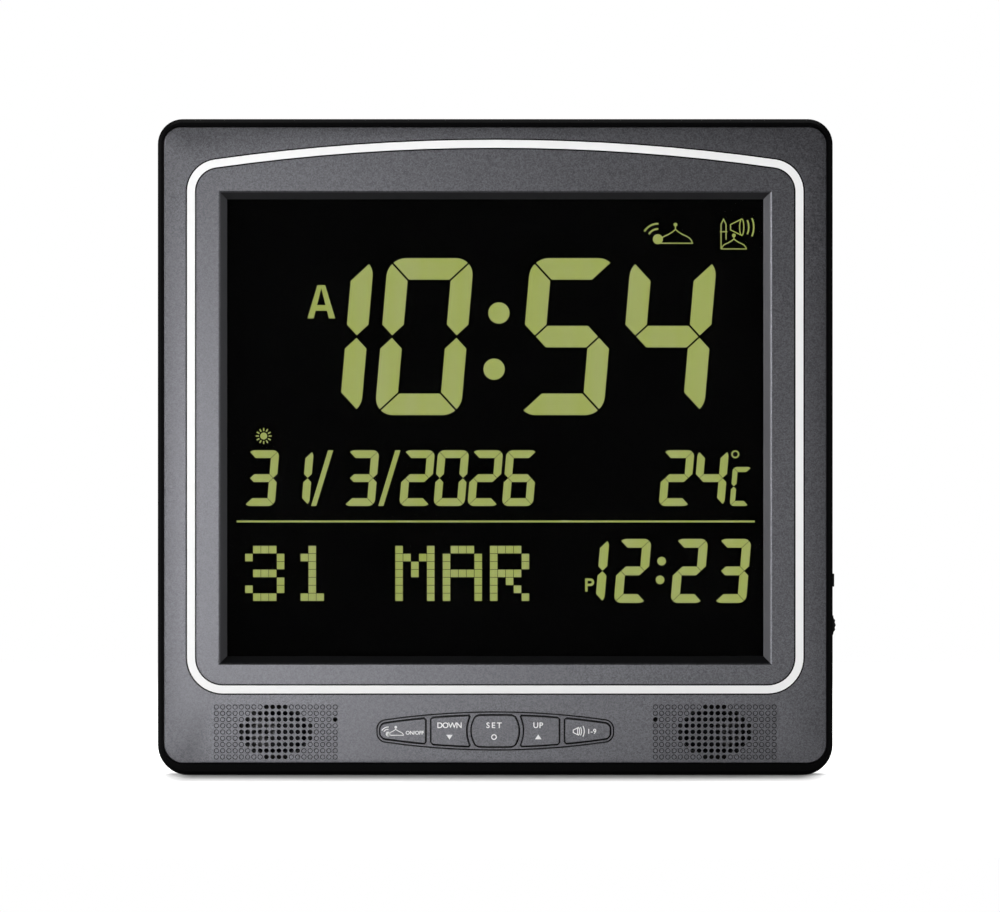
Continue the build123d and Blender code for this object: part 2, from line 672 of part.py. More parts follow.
with BuildPart() as front_shell:
    face = panel(front, shell_half, shell_low, shell_top, SHELL_LOW_RADIUS, SHELL_TOP_RADIUS)
    extrude(face, amount=-SHELL_WALL - RETURN_DEPTH)
    hollow = panel(
        shell_inner,
        shell_half - RETURN_WALL,
        shell_low + RETURN_WALL,
        shell_top - RETURN_WALL,
        SHELL_LOW_RADIUS - RETURN_WALL,
        SHELL_TOP_RADIUS - RETURN_WALL,
    )
    extrude(hollow, amount=-RETURN_DEPTH, mode=Mode.SUBTRACT)
    # Bevelled display window with a collar that the display holder seats on
    collar_half = holder_half + COLLAR_MARGIN
    collar_low = holder_low - COLLAR_MARGIN
    collar_top = holder_top + COLLAR_MARGIN
    block(shell_inner, lens_front, -collar_half, collar_half, collar_low, collar_top)
    wide = rectangle(front, -window_half, window_half, window_low, window_top)
    narrow = rectangle(
        lens_front, -window_half + BEVEL, window_half - BEVEL, window_low + BEVEL, window_top - BEVEL
    )
    loft([wide, narrow], ruled=True, mode=Mode.SUBTRACT)
    # Groove of the trim ring and opening of the key plate
    extrude(trim_band(front, TRIM_GAP), amount=-TRIM_DEPTH, mode=Mode.SUBTRACT)
    extrude(cluster(front), amount=-SHELL_WALL, mode=Mode.SUBTRACT)
    # Saddles round the speakers
    seat_width = SPEAKER_WIDTH + 2 * SPEAKER_GAP
    seat_height = SPEAKER_HEIGHT + 2 * SPEAKER_GAP
    saddle = 2 * SADDLE_WALL
    ovals(shell_inner, shell_inner + SADDLE_DEPTH, seat_width + saddle, seat_height + saddle)
    ovals(shell_inner, shell_inner + RETURN_DEPTH, seat_width, seat_height, mode=Mode.SUBTRACT)
    # Bosses for the case screws, posts for the display holder and the key board
    posts(shell_inner, boss_joint, CASE_BOSS_RADIUS, boss_places)
    pilot = boss_joint - CASE_SCREW_GRIP
    posts(pilot, boss_joint, CASE_SCREW_SHANK + THREAD_GAP, boss_places, mode=Mode.SUBTRACT)
    posts(shell_inner, ear_front, POST_RADIUS, ear_places)
    posts(shell_inner, ear_front, SCREW_SHANK + THREAD_GAP, ear_places, mode=Mode.SUBTRACT)
    posts(shell_inner, key_board_front, POST_RADIUS, key_screw_places)
    posts(shell_inner, key_board_front, SCREW_SHANK + THREAD_GAP, key_screw_places, mode=Mode.SUBTRACT)
    # Open holes of the grilles
    for side in (-1, 1):
        with BuildSketch(facing_front(front, side * GRILLE_X, GRILLE_Z)):
            with Locations(*[(-side * across, up) for across, up in sound_holes]):
                RegularPolygon(HOLE_RADIUS, HOLE_SIDES)
    extrude(amount=-SHELL_WALL, mode=Mode.SUBTRACT)
finish_part(front_shell, "front_shell")

with BuildPart() as trim_ring:
    extrude(trim_band(front), amount=-TRIM_DEPTH)
finish_part(trim_ring, "trim_ring")

# ================================================================ keys
with BuildPart() as key_plate:
    extrude(cluster(front, -PLATE_GAP), amount=front - shell_inner)
    extrude(cluster(shell_inner, PLATE_LIP), amount=-PLATE_LIP_THICKNESS)
    for name in KEY_PLUNGERS:
        opening = key_outline(front, name, KEY_GAP)
        extrude(opening, amount=front - plate_back, mode=Mode.SUBTRACT)
finish_part(key_plate, "key_plate")

for name, plunger_x in KEY_PLUNGERS.items():
    with BuildPart() as key:
        extrude(key_outline(key_front, name), amount=key_front - key_flange_front)
        chamfer(key.faces().sort_by(Axis.Y)[0].edges(), KEY_EDGE)
        extrude(key_outline(key_flange_front, name, KEY_FLANGE), amount=-KEY_FLANGE_THICKNESS)
        half = PLUNGER_SIZE / 2
        block(
            key_flange_back,
            plunger_tip,
            plunger_x - half,
            plunger_x + half,
            CLUSTER_Z - half,
            CLUSTER_Z + half,
        )
    finish_part(key, f"key_{name}")

    with BuildPart() as stem:
        half = STEM_SIZE / 2
        block(
            plunger_tip,
            plunger_tip + STEM_LENGTH,
            plunger_x - half,
            plunger_x + half,
            CLUSTER_Z - half,
            CLUSTER_Z + half,
        )
    finish_part(stem, f"switch_stem_{name}")

with BuildPart() as tact_switches:
    bore_end = plunger_tip + STEM_LENGTH + KEY_TRAVEL + STEM_GAP
    for plunger_x in KEY_PLUNGERS.values():
        half = SWITCH_SIZE / 2
        block(
            switch_front,
            key_board_front,
            plunger_x - half,
            plunger_x + half,
            CLUSTER_Z - half,
            CLUSTER_Z + half,
        )
        half = STEM_SIZE / 2 + STEM_GAP
        block(
            switch_front,
            bore_end,
            plunger_x - half,
            plunger_x + half,
            CLUSTER_Z - half,
            CLUSTER_Z + half,
            mode=Mode.SUBTRACT,
        )
finish_part(tact_switches, "tact_switches")

with BuildPart() as key_board:
    block(key_board_front, key_board_back, -key_board_half, key_board_half, key_board_low, key_board_top)
    clearance = SCREW_SHANK + SCREW_CLEARANCE
    posts(key_board_front, key_board_back, clearance, key_screw_places, mode=Mode.SUBTRACT)
finish_part(key_board, "key_board")

# ================================================================ display stack
with BuildPart() as display_lens:
    block(lens_front, lens_back, -lens_half, lens_half, lens_low, lens_top)
finish_part(display_lens, "display_lens")

with BuildPart() as lcd_front_glass:
    block(glass_front, glass_middle, -lens_half, lens_half, lens_low, lens_top)
finish_part(lcd_front_glass, "lcd_front_glass")

ledge_top = lens_low + GLASS_LEDGE
with BuildPart() as lcd_rear_glass:
    block(glass_middle, glass_back, -lens_half, lens_half, ledge_top, lens_top)
finish_part(lcd_rear_glass, "lcd_rear_glass")

with BuildPart() as diffuser_sheet:
    block(glass_back, diffuser_back, -lens_half, lens_half, ledge_top, lens_top)
finish_part(diffuser_sheet, "diffuser_sheet")

led_board_low = stack_top - LED_BOARD_THICKNESS
led_tip = led_board_low - LED_HEIGHT
guide_top = led_tip - STACK_GAP
with BuildPart() as light_guide:
    block(diffuser_back, guide_back, -lens_half, lens_half, ledge_top, guide_top)
finish_part(light_guide, "light_guide")

with BuildPart() as reflector_sheet:
    block(guide_back, reflector_back, -lens_half, lens_half, ledge_top, guide_top)
finish_part(reflector_sheet, "reflector_sheet")

guide_middle = (diffuser_back + guide_back) / 2
with BuildPart() as led_strip:
    block(diffuser_back, guide_back, -lens_half, lens_half, led_board_low, stack_top)
    with BuildSketch(Plane.XY.offset(led_tip)):
        with Locations((0, guide_middle)):
            with GridLocations(LED_PITCH, 0, LED_COUNT, 1):
                Rectangle(LED_SIZE, LED_SIZE)
    extrude(amount=LED_HEIGHT)
finish_part(led_strip, "led_strip")

with BuildPart() as lcd_holder:
    block(lens_front, holder_back, -holder_half, holder_half, holder_low, holder_top)
    block(lens_front, reflector_back, -stack_half, stack_half, stack_low, stack_top, mode=Mode.SUBTRACT)
    block(
        reflector_back,
        holder_back,
        -zebra_half - STACK_GAP,
        zebra_half + STACK_GAP,
        zebra_low - STACK_GAP,
        zebra_top + STACK_GAP,
        mode=Mode.SUBTRACT,
    )
    for x, z in ear_places:
        left, right = sorted((x, holder_half if x > 0 else -holder_half))
        block(ear_front, ear_back, left, right, z - POST_RADIUS, z + POST_RADIUS)
    posts(ear_front, ear_back, POST_RADIUS, ear_places)
    posts(ear_front, ear_back, SCREW_SHANK + SCREW_CLEARANCE, ear_places, mode=Mode.SUBTRACT)
    posts(holder_back, board_front, POST_RADIUS, board_screw_places)
    posts(reflector_back, board_front, SCREW_SHANK + THREAD_GAP, board_screw_places, mode=Mode.SUBTRACT)
finish_part(lcd_holder, "lcd_holder")

with BuildPart() as zebra_strip:
    block(glass_middle, board_front, -zebra_half, zebra_half, zebra_low, zebra_top)
finish_part(zebra_strip, "zebra_strip")

# ================================================================ main board
with BuildPart() as main_board:
    block(board_front, board_back, -board_half, board_half, board_low, board_top)
    clearance = SCREW_SHANK + SCREW_CLEARANCE
    posts(board_front, board_back, clearance, board_screw_places, mode=Mode.SUBTRACT)
finish_part(main_board, "main_board")

board_middle = (board_low + board_top) / 2
with BuildPart() as clock_chip:
    posts(board_back, board_back + CHIP_HEIGHT, CHIP_RADIUS, [(0, board_middle)], sides=HIDDEN_SIDES)
    chamfer(clock_chip.faces().sort_by(Axis.Y)[-1].edges(), CHIP_SLOPE)
finish_part(clock_chip, "clock_chip")

with BuildPart() as sound_chip:
    half = SOUND_CHIP_LENGTH / 2
    left = SOUND_CHIP_X - SOUND_CHIP_WIDTH / 2
    right = SOUND_CHIP_X + SOUND_CHIP_WIDTH / 2
    foot = board_back + SOUND_CHIP_LIFT
    block(foot, foot + SOUND_CHIP_HEIGHT, left, right, board_middle - half, board_middle + half)
    with BuildSketch(facing_front(board_back, SOUND_CHIP_X, board_middle)):
        with GridLocations(SOUND_CHIP_WIDTH + CHIP_LEG_LENGTH, CHIP_LEG_PITCH, 2, CHIP_LEG_COUNT):
            Rectangle(CHIP_LEG_LENGTH, CHIP_LEG_WIDTH)
    extrude(amount=-CHIP_LEG_HEIGHT)
finish_part(sound_chip, "sound_chip")

with BuildPart() as crystal:
    left = CRYSTAL_X - CRYSTAL_SIZE / 2
    low = board_middle - CRYSTAL_LENGTH / 2
    block(board_back, board_back + CRYSTAL_SIZE, left, left + CRYSTAL_SIZE, low, low + CRYSTAL_LENGTH)
finish_part(crystal, "crystal")

with BuildPart() as capacitors:
    capacitor_places = [(x, board_middle + CAPACITOR_RISE) for x in CAPACITOR_X]
    can_top = board_back + CAPACITOR_HEIGHT
    posts(board_back, can_top, CAPACITOR_RADIUS, capacitor_places, sides=HIDDEN_SIDES)
finish_part(capacitors, "capacitors")

with BuildPart() as thermistor:
    left = board_half - THERMISTOR_INSET - THERMISTOR_WIDTH / 2
    low = board_low + THERMISTOR_RISE - THERMISTOR_LENGTH / 2
    block(
        board_back,
        board_back + THERMISTOR_HEIGHT,
        left,
        left + THERMISTOR_WIDTH,
        low,
        low + THERMISTOR_LENGTH,
    )
finish_part(thermistor, "thermistor")

with BuildPart() as dc_jack:
    half = JACK_SIZE / 2
    bore_end = jack_mouth - JACK_BORE_DEPTH
    block(board_back, jack_mouth, JACK_X - half, JACK_X + half, jack_z - half, jack_z + half)
    pillars(bore_end, jack_mouth, JACK_BORE_RADIUS, [(JACK_X, jack_z)], mode=Mode.SUBTRACT)
    pillars(bore_end, jack_mouth - JACK_PIN_RECESS, JACK_PIN_RADIUS, [(JACK_X, jack_z)])
finish_part(dc_jack, "dc_jack")

# ================================================================ speakers
speaker_front = shell_inner + GASKET_THICKNESS
basket_front = speaker_front + SPEAKER_FLANGE
basket_back = basket_front + BASKET_DEPTH
open_width = SPEAKER_WIDTH - 2 * SPEAKER_RIM
open_height = SPEAKER_HEIGHT - 2 * SPEAKER_RIM
with BuildPart() as speaker_gaskets:
    ovals(shell_inner, speaker_front, SPEAKER_WIDTH, SPEAKER_HEIGHT)
    ovals(shell_inner, speaker_front, open_width, open_height, mode=Mode.SUBTRACT)
finish_part(speaker_gaskets, "speaker_gaskets")

well_width = open_width - 2 * BASKET_WALL
well_height = open_height - 2 * BASKET_WALL
with BuildPart() as speaker_baskets:
    ovals(speaker_front, basket_front, SPEAKER_WIDTH, SPEAKER_HEIGHT)
    ovals(basket_front, basket_back, open_width, open_height)
    ovals(speaker_front, basket_back - BASKET_WALL, well_width, well_height, mode=Mode.SUBTRACT)
finish_part(speaker_baskets, "speaker_baskets")

cone_width = well_width - 2 * SPEAKER_GAP
cone_height = well_height - 2 * SPEAKER_GAP
cone_back = speaker_front + CONE_DROP
skin = 2 * CONE_THICKNESS
with BuildPart() as cone_hollow:
    ovals(speaker_front, cone_back - CONE_THICKNESS, cone_width - skin, cone_height - skin)
    chamfer(cone_hollow.faces().sort_by(Axis.Y)[-2:].edges(), CONE_SLOPE)

with BuildPart() as speaker_cones:
    ovals(speaker_front, cone_back, cone_width, cone_height)
    chamfer(speaker_cones.faces().sort_by(Axis.Y)[-2:].edges(), CONE_SLOPE)
    add(cone_hollow.part, mode=Mode.SUBTRACT)
    coil_places = [(-GRILLE_X, GRILLE_Z), (GRILLE_X, GRILLE_Z)]
    coil_front = speaker_front + DUST_CAP_DROP
    posts(coil_front, basket_back - BASKET_WALL, COIL_RADIUS, coil_places, sides=OVAL_SIDES)
finish_part(speaker_cones, "speaker_cones")

with BuildPart() as speaker_magnets:
    posts(basket_back, basket_back + MAGNET_DEPTH, MAGNET_RADIUS, coil_places, sides=HIDDEN_SIDES)
finish_part(speaker_magnets, "speaker_magnets")

# ================================================================ batteries
cell_heights = [tub_low + (number + 0.5) * CELL_PITCH for number in range(CELL_COUNT)]
for number, cell_z in enumerate(cell_heights):
    facing = 1 if number % 2 == 0 else -1
    flat_end = -facing * (tub_half - SPRING_LENGTH)
    nub_end = facing * (tub_half - CONTACT_THICKNESS)
    with BuildPart() as cell:
        with BuildSketch(Plane.YZ.offset(flat_end)):
            with Locations((cell_y, cell_z)):
                RegularPolygon(CELL_DIAMETER / 2, HIDDEN_SIDES)
        extrude(amount=facing * (CELL_LENGTH - CELL_NUB_LENGTH))
        with BuildSketch(Plane.YZ.offset(nub_end)):
            with Locations((cell_y, cell_z)):
                RegularPolygon(CELL_NUB_RADIUS, OVAL_SIDES)
        extrude(amount=-facing * CELL_NUB_LENGTH)
    finish_part(cell, f"battery_{number + 1}")

with BuildPart() as contact_plates:
    for number, cell_z in enumerate(cell_heights):
        facing = 1 if number % 2 == 0 else -1
        ends = sorted((facing * (tub_half - CONTACT_THICKNESS), facing * tub_half))
        half = CONTACT_SIZE / 2
        block(cell_y - half, cell_y + half, ends[0], ends[1], cell_z - half, cell_z + half)
finish_part(contact_plates, "contact_plates")

with BuildPart() as contact_springs:
    half = CONTACT_SIZE / 2
    for number, cell_z in enumerate(cell_heights):
        facing = 1 if number % 2 == 0 else -1
        leaf = [
            (0, -half),
            (0, half),
            (CONTACT_THICKNESS, half),
            (SPRING_LENGTH, 0),
            (0.55 * SPRING_LENGTH, -0.75 * half),
            (0.55 * SPRING_LENGTH - CONTACT_THICKNESS, -0.75 * half),
            (SPRING_LENGTH - 1.4 * CONTACT_THICKNESS, 0),
            (CONTACT_THICKNESS, half - 2.2 * CONTACT_THICKNESS),
            (CONTACT_THICKNESS, -half),
        ]
        with BuildSketch(Plane.XY.offset(cell_z - half)):
            with BuildLine():
                Polyline(*[(facing * (out - tub_half), cell_y + along) for out, along in leaf], close=True)
            make_face()
        extrude(amount=CONTACT_SIZE)
finish_part(contact_springs, "contact_springs")

with BuildPart() as battery_door:
    with BuildSketch(Plane.YZ.offset(-door_end)) as door_section:
        with BuildLine():
            Polyline(
                (door_inner, tub_middle - door_half),
                (door_inner, tub_middle + door_half),
                (back, tub_middle + door_half - DOOR_DOVETAIL),
                (back, tub_middle - door_half + DOOR_DOVETAIL),
                close=True,
            )
        make_face()
    extrude(door_section.sketch, amount=2 * door_end)
    grip_x = door_end - GRIP_PITCH * (GRIP_COUNT + 1) / 2
    with BuildSketch(facing_front(back - GRIP_DEPTH, grip_x, tub_middle)) as grips:
        with GridLocations(GRIP_PITCH, 0, GRIP_COUNT, 1):
            Rectangle(GRIP_WIDTH, GRIP_HEIGHT)
    extrude(grips.sketch, amount=-GRIP_DEPTH, mode=Mode.SUBTRACT)
finish_part(battery_door, "battery_door")

# ================================================================ stand leg
leg_tip = LEG_TIP_HEIGHT + PAD_THICKNESS
with BuildPart() as stand_leg:
    with BuildSketch(Plane.YZ.offset(-leg_half)):
        with Locations((hinge_y, (leg_tip + hinge_z) / 2)):
            Rectangle(LEG_THICKNESS, hinge_z - leg_tip)
        with Locations((hinge_y, hinge_z)):
            Circle(LEG_THICKNESS / 2)
    extrude(amount=LEG_WIDTH)
    panel_low = leg_tip + 3 * LEG_RIB
    panel_top = hinge_z - LEG_THICKNESS
    span = leg_half - 1.5 * LEG_RIB
    for side in (-1, 1):
        middle = side * (LEG_RIB + span) / 2
        block(
            leg_front,
            leg_back - LEG_SKIN,
            middle - span / 2,
            middle + span / 2,
            panel_low,
            panel_top,
            mode=Mode.SUBTRACT,
        )
    with BuildSketch(Plane.YZ.offset(-leg_half - PIN_LENGTH)):
        with Locations((hinge_y, hinge_z)):
            Circle(PIN_RADIUS)
    extrude(amount=LEG_WIDTH + 2 * PIN_LENGTH)
finish_part(stand_leg, "stand_leg")

with BuildPart() as leg_pad:
    block(leg_front, leg_back, -leg_half, leg_half, LEG_TIP_HEIGHT, leg_tip)
finish_part(leg_pad, "leg_pad")

# ================================================================ side controls
with BuildPart() as side_board:
    block(
        side_board_front,
        side_board_back,
        side_board_left,
        side_board_right,
        side_board_low,
        side_board_top,
    )
    clearance = SCREW_SHANK + SCREW_CLEARANCE
    posts(side_board_front, side_board_back, clearance, side_screw_places, mode=Mode.SUBTRACT)
finish_part(side_board, "side_board")

with BuildPart() as volume_pot:
    block(
        pot_front,
        side_board_front,
        side_board_right - POT_WIDTH,
        side_board_right,
        WHEEL_Z - POT_HEIGHT / 2,
        WHEEL_Z + POT_HEIGHT / 2,
    )
    pillars(wheel_front, pot_front, WHEEL_POST_RADIUS, [(wheel_x, WHEEL_Z)])
finish_part(volume_pot, "volume_pot")

with BuildPart() as volume_wheel:
    rim = []
    for step in range(2 * WHEEL_TEETH):
        reach = WHEEL_RADIUS - WHEEL_TOOTH * (step % 2)
        angle = radians(180 * step / WHEEL_TEETH)
        rim.append((wheel_x + reach * cos(angle), WHEEL_Z + reach * sin(angle)))
    with BuildSketch(facing_front(wheel_front)):
        with BuildLine():
            Polyline(*rim, close=True)
        make_face()
        with Locations((wheel_x, WHEEL_Z)):
            Circle(WHEEL_POST_RADIUS + WHEEL_POST_GAP, mode=Mode.SUBTRACT)
    extrude(amount=-WHEEL_THICKNESS)
finish_part(volume_wheel, "volume_wheel")

slider_low = KNOB_Z - KNOB_HEIGHT / 2 - KNOB_TRAVEL - SLIDER_MARGIN
slider_top = KNOB_Z + KNOB_HEIGHT / 2 + SLIDER_MARGIN
tongue_left = slider_right - KNOB_TONGUE_LENGTH
with BuildPart() as slide_switch:
    block(
        slider_front, side_board_front, slider_right - SLIDER_WIDTH, slider_right, slider_low, slider_top
    )
    block(
        knob_y - KNOB_TONGUE / 2 - KNOB_GAP / 2,
        knob_y + KNOB_TONGUE / 2 + KNOB_GAP / 2,
        tongue_left - KNOB_GAP,
        slider_right,
        KNOB_Z - KNOB_TONGUE - KNOB_TRAVEL - KNOB_GAP,
        KNOB_Z + KNOB_TONGUE + KNOB_GAP,
        mode=Mode.SUBTRACT,
    )
finish_part(slide_switch, "slide_switch")

with BuildPart() as slide_knob:
    block(
        knob_y - KNOB_WIDTH / 2,
        knob_y + KNOB_WIDTH / 2,
        slider_right + KNOB_GAP / 2,
        body_half + KNOB_PROUD,
        KNOB_Z - KNOB_HEIGHT / 2,
        KNOB_Z + KNOB_HEIGHT / 2,
    )
    block(
        knob_y - KNOB_TONGUE / 2,
        knob_y + KNOB_TONGUE / 2,
        tongue_left,
        slider_right + KNOB_GAP / 2,
        KNOB_Z - KNOB_TONGUE,
        KNOB_Z + KNOB_TONGUE,
    )
finish_part(slide_knob, "slide_knob")


# ================================================================ screws
def screws(seat, direction, length, shank, head, head_height, places):
    """Screws driven along Y, with the head's underside on the seat."""
    near, far = sorted((seat, seat - direction * head_height))
    posts(near, far, head, places)
    near, far = sorted((seat, seat + direction * length))
    posts(near, far, shank, places)


with BuildPart() as case_screws:
    reach = CASE_SEAT + CASE_SCREW_GRIP - SCREW_RELIEF
    screws(case_seat, -1, reach, CASE_SCREW_SHANK, CASE_SCREW_HEAD, CASE_SCREW_HEAD_HEIGHT, boss_places)
finish_part(case_screws, "case_screws")

with BuildPart() as holder_screws:
    reach = EAR_THICKNESS + EAR_STANDOFF - SCREW_RELIEF
    screws(ear_back, -1, reach, SCREW_SHANK, SCREW_HEAD, SCREW_HEAD_HEIGHT, ear_places)
finish_part(holder_screws, "holder_screws")

with BuildPart() as board_screws:
    reach = BOARD_THICKNESS + BOARD_STANDOFF + HOLDER_WALL - SCREW_RELIEF
    screws(board_back, -1, reach, SCREW_SHANK, SCREW_HEAD, SCREW_HEAD_HEIGHT, board_screw_places)
finish_part(board_screws, "board_screws")

with BuildPart() as small_screws:
    reach = BOARD_THICKNESS + SMALL_SCREW_GRIP
    screws(key_board_back, -1, reach, SCREW_SHANK, SCREW_HEAD, SCREW_HEAD_HEIGHT, key_screw_places)
    screws(side_board_front, 1, reach, SCREW_SHANK, SCREW_HEAD, SCREW_HEAD_HEIGHT, side_screw_places)
finish_part(small_screws, "small_screws")
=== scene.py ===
# %% [markdown]
# # A wall and desk clock with a large lit display
#
# The clock is a black tray with a painted face set into it.  The face carries a window for the
# display, a white trim line, two speaker grilles and a row of five keys.  The solids come from the
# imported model, so every size here is either read from that model or belongs to a detail that is
# too fine for it.  Lengths in this file are in metres, and `MM` turns millimetres into them.

from math import asin, cos, pi, radians, sin, tan

import bmesh
import bpy
from mathutils import Matrix, Vector


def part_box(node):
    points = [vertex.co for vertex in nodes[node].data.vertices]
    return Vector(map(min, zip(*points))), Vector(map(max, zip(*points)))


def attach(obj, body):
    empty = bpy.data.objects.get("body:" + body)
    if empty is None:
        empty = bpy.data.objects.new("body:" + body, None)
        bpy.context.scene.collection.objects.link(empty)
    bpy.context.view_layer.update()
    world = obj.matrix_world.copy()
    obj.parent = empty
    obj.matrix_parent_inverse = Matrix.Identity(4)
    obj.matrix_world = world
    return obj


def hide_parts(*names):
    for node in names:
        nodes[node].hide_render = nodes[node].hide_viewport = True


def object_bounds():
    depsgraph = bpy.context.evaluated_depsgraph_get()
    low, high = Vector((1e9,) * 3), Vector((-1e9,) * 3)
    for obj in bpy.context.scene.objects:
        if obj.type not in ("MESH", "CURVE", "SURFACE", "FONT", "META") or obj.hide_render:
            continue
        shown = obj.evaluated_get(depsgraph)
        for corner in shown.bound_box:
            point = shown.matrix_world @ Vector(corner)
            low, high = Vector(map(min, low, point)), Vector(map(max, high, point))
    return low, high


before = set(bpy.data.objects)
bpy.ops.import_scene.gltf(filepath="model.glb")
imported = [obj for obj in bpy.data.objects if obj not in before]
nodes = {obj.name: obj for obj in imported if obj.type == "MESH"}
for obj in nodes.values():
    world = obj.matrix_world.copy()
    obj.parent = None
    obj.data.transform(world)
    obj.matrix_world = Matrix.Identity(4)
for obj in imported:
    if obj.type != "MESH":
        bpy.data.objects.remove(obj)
model_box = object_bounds()
MM = 0.001
face_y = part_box("front_shell")[0].y
box_in_mm = [round(v / MM, 1) for corner in model_box for v in corner]
print("nodes:", len(nodes), "box in mm:", box_in_mm)

# %% [markdown]
# ## Shader maths as ordinary expressions
#
# A finish is a small graph of nodes.  Wiring each Math node by hand hides the idea behind the
# bookkeeping, so one class wraps an output socket and overloads the arithmetic signs.  Then
# `1 - mask` or `grain * 0.3 + 0.5` adds the nodes by itself.  Every other kind of node comes from
# one method, which sets the node's own options first and its sockets after them.


# %% A socket that can be calculated with
def arithmetic(operation):
    """Two methods for one sign, as it stands in `wire - value` and in `value - wire`."""

    def forward(self, other):
        return self.math(operation, self, other)

    def reflected(self, other):
        return self.math(operation, other, self)

    return forward, reflected


class Wire:
    """One output socket of a finish.  Arithmetic on it adds Math nodes."""

    __add__, __radd__ = arithmetic("ADD")
    __sub__, __rsub__ = arithmetic("SUBTRACT")
    __mul__, __rmul__ = arithmetic("MULTIPLY")
    __truediv__, __rtruediv__ = arithmetic("DIVIDE")
    __pow__, __rpow__ = arithmetic("POWER")

    def __init__(self, finish, socket):
        self.finish = finish
        self.socket = socket

    def math(self, operation, *values):
        """Math node of that operation, on the values in their order."""
        sockets = dict(enumerate(values))
        return self.finish.node("ShaderNodeMath", {"operation": operation}, sockets)

    def magnitude(self):
        """The value without its sign."""
        return self.math("ABSOLUTE", self)

    def above_zero(self):
        """The value, or 0 where it is negative."""
        return self.math("MAXIMUM", self, 0.0)

    def limit(self):
        """The value kept between 0 and 1."""
        return self.math("MINIMUM", self.above_zero(), 1.0)

    def out(self, name):
        """Another output of the same node."""
        return Wire(self.finish, self.socket.node.outputs[name])


# %% A finish, built node by node
# A Mix node has sockets for every kind of data.  These are the numbers of those for colours.
MIX_FIRST, MIX_SECOND, MIX_RESULT = 6, 7, 2


class Finish:
    """The nodes of a material, or of the world, with one shader at the end."""

    def __init__(self, name, library="materials", end="ShaderNodeOutputMaterial"):
        self.owner = getattr(bpy.data, library).new(name)
        self.owner.use_nodes = True
        self.tree = self.owner.node_tree
        self.tree.nodes.clear()
        self.end = self.tree.nodes.new(end)

    def node(self, kind, settings=None, sockets=None):
        """A node of that type: its settings first, then the values or wires of its sockets."""
        made = self.tree.nodes.new(kind)
        for name, value in (settings or {}).items():
            if name == "stops":
                set_stops(made.color_ramp, value)
            else:
                setattr(made, name, value)
        for name, value in (sockets or {}).items():
            if isinstance(value, Wire):
                self.tree.links.new(value.socket, made.inputs[name])
            else:
                made.inputs[name].default_value = value
        return Wire(self, made.outputs[0])

    def place(self):
        """Where a point lies on the object, in metres."""
        return self.node("ShaderNodeTexCoord").out("Object")

    def along(self, axis):
        """How far along one axis of the object a point lies, in metres."""
        return self.node("ShaderNodeSeparateXYZ", {}, {"Vector": self.place()}).out(axis)

    def sunk(self, start, end):
        """A share that rises from 0 to 1 between two depths behind the face."""
        return ((self.along("Y") - face_y - start) / (end - start)).limit()

    def noise(self, scale, detail=2.0):
        """Soft clouds, with that many to a metre."""
        sockets = {"Vector": self.place(), "Scale": scale, "Detail": detail}
        return self.node("ShaderNodeTexNoise", {}, sockets)

    def blend(self, share, first, second):
        """Colour between two, by the share of the second."""
        sockets = {"Factor": share, MIX_FIRST: first, MIX_SECOND: second}
        return self.node("ShaderNodeMix", {"data_type": "RGBA"}, sockets).out(MIX_RESULT)

    def relief(self, height, depth, strength=0.5):
        """Normal from a height between 0 and 1, that many metres deep."""
        sockets = {"Height": height, "Distance": depth, "Strength": strength}
        return self.node("ShaderNodeBump", {}, sockets)

    def close(self, shader):
        """Ends the nodes in that shader, and gives the material or the world."""
        self.tree.links.new(shader.socket, self.end.inputs["Surface"])
        return self.owner

    def surface(self, sockets):
        """Ends the nodes in a Principled shader, and gives the material."""
        return self.close(self.node("ShaderNodeBsdfPrincipled", {}, sockets))


def set_stops(ramp, stops):
    """Puts the (place, colour) stops on a colour ramp."""
    while len(ramp.elements) > 1:
        ramp.elements.remove(ramp.elements[-1])
    ramp.elements[0].position, ramp.elements[0].color = stops[0]
    for place, colour in stops[1:]:
        ramp.elements.new(place).color = colour


def grey(level, tint=1.0):
    """A neutral colour of that linear level, with the blue raised by the tint."""
    return (level, level, level * tint, 1.0)


def scaled(colour, amount):
    """The colour made lighter or darker by that amount."""
    return (*(min(1.0, c * amount) for c in colour[:3]), 1.0)


def add_object(name, data):
    """Puts a mesh, lamp, camera or text into the scene under that name."""
    made = bpy.data.objects.new(name, data)
    bpy.context.scene.collection.objects.link(made)
    return made


print("helpers ready")

# %% [markdown]
# ## Graphite paint
#
# The face and the keys are sprayed with a graphite paint that has fine metal flakes in it.  A flat
# grey would look like card.  Two sizes of random grains give the sparkle: the small ones change
# the colour, and the same grains tilt the surface a little, so that each catches the light by
# itself.  Slow clouds under them stand for the uneven coat that a spray gun leaves.  Into grooves
# and gaps the paint turns dark with depth: that is painted shade, for the shade that falls there.

# %% Graphite paint
PAINT_LEVEL = 0.121
FLAKE_SIZE = 0.42 * MM
PEEL_SIZE = 1.6 * MM
FLAKE_RELIEF = 0.03 * MM
CLOUDS_TO_A_METRE = 18.0
# Depths behind the face between which painted shade darkens the paint.  The keys stand in front of
# it.
FACE_SHADE = (0.35 * MM, 0.9 * MM)
KEY_SHADE = (-0.34 * MM, -0.2 * MM)
PLATE_SHADE = (0.03 * MM, 0.15 * MM)
GAP_SHADE_LEVEL = 0.04
# A much darker level of the same paint, used as painted shade on walls and edges.
PAINTED_SHADE_LEVEL = PAINT_LEVEL * 0.12


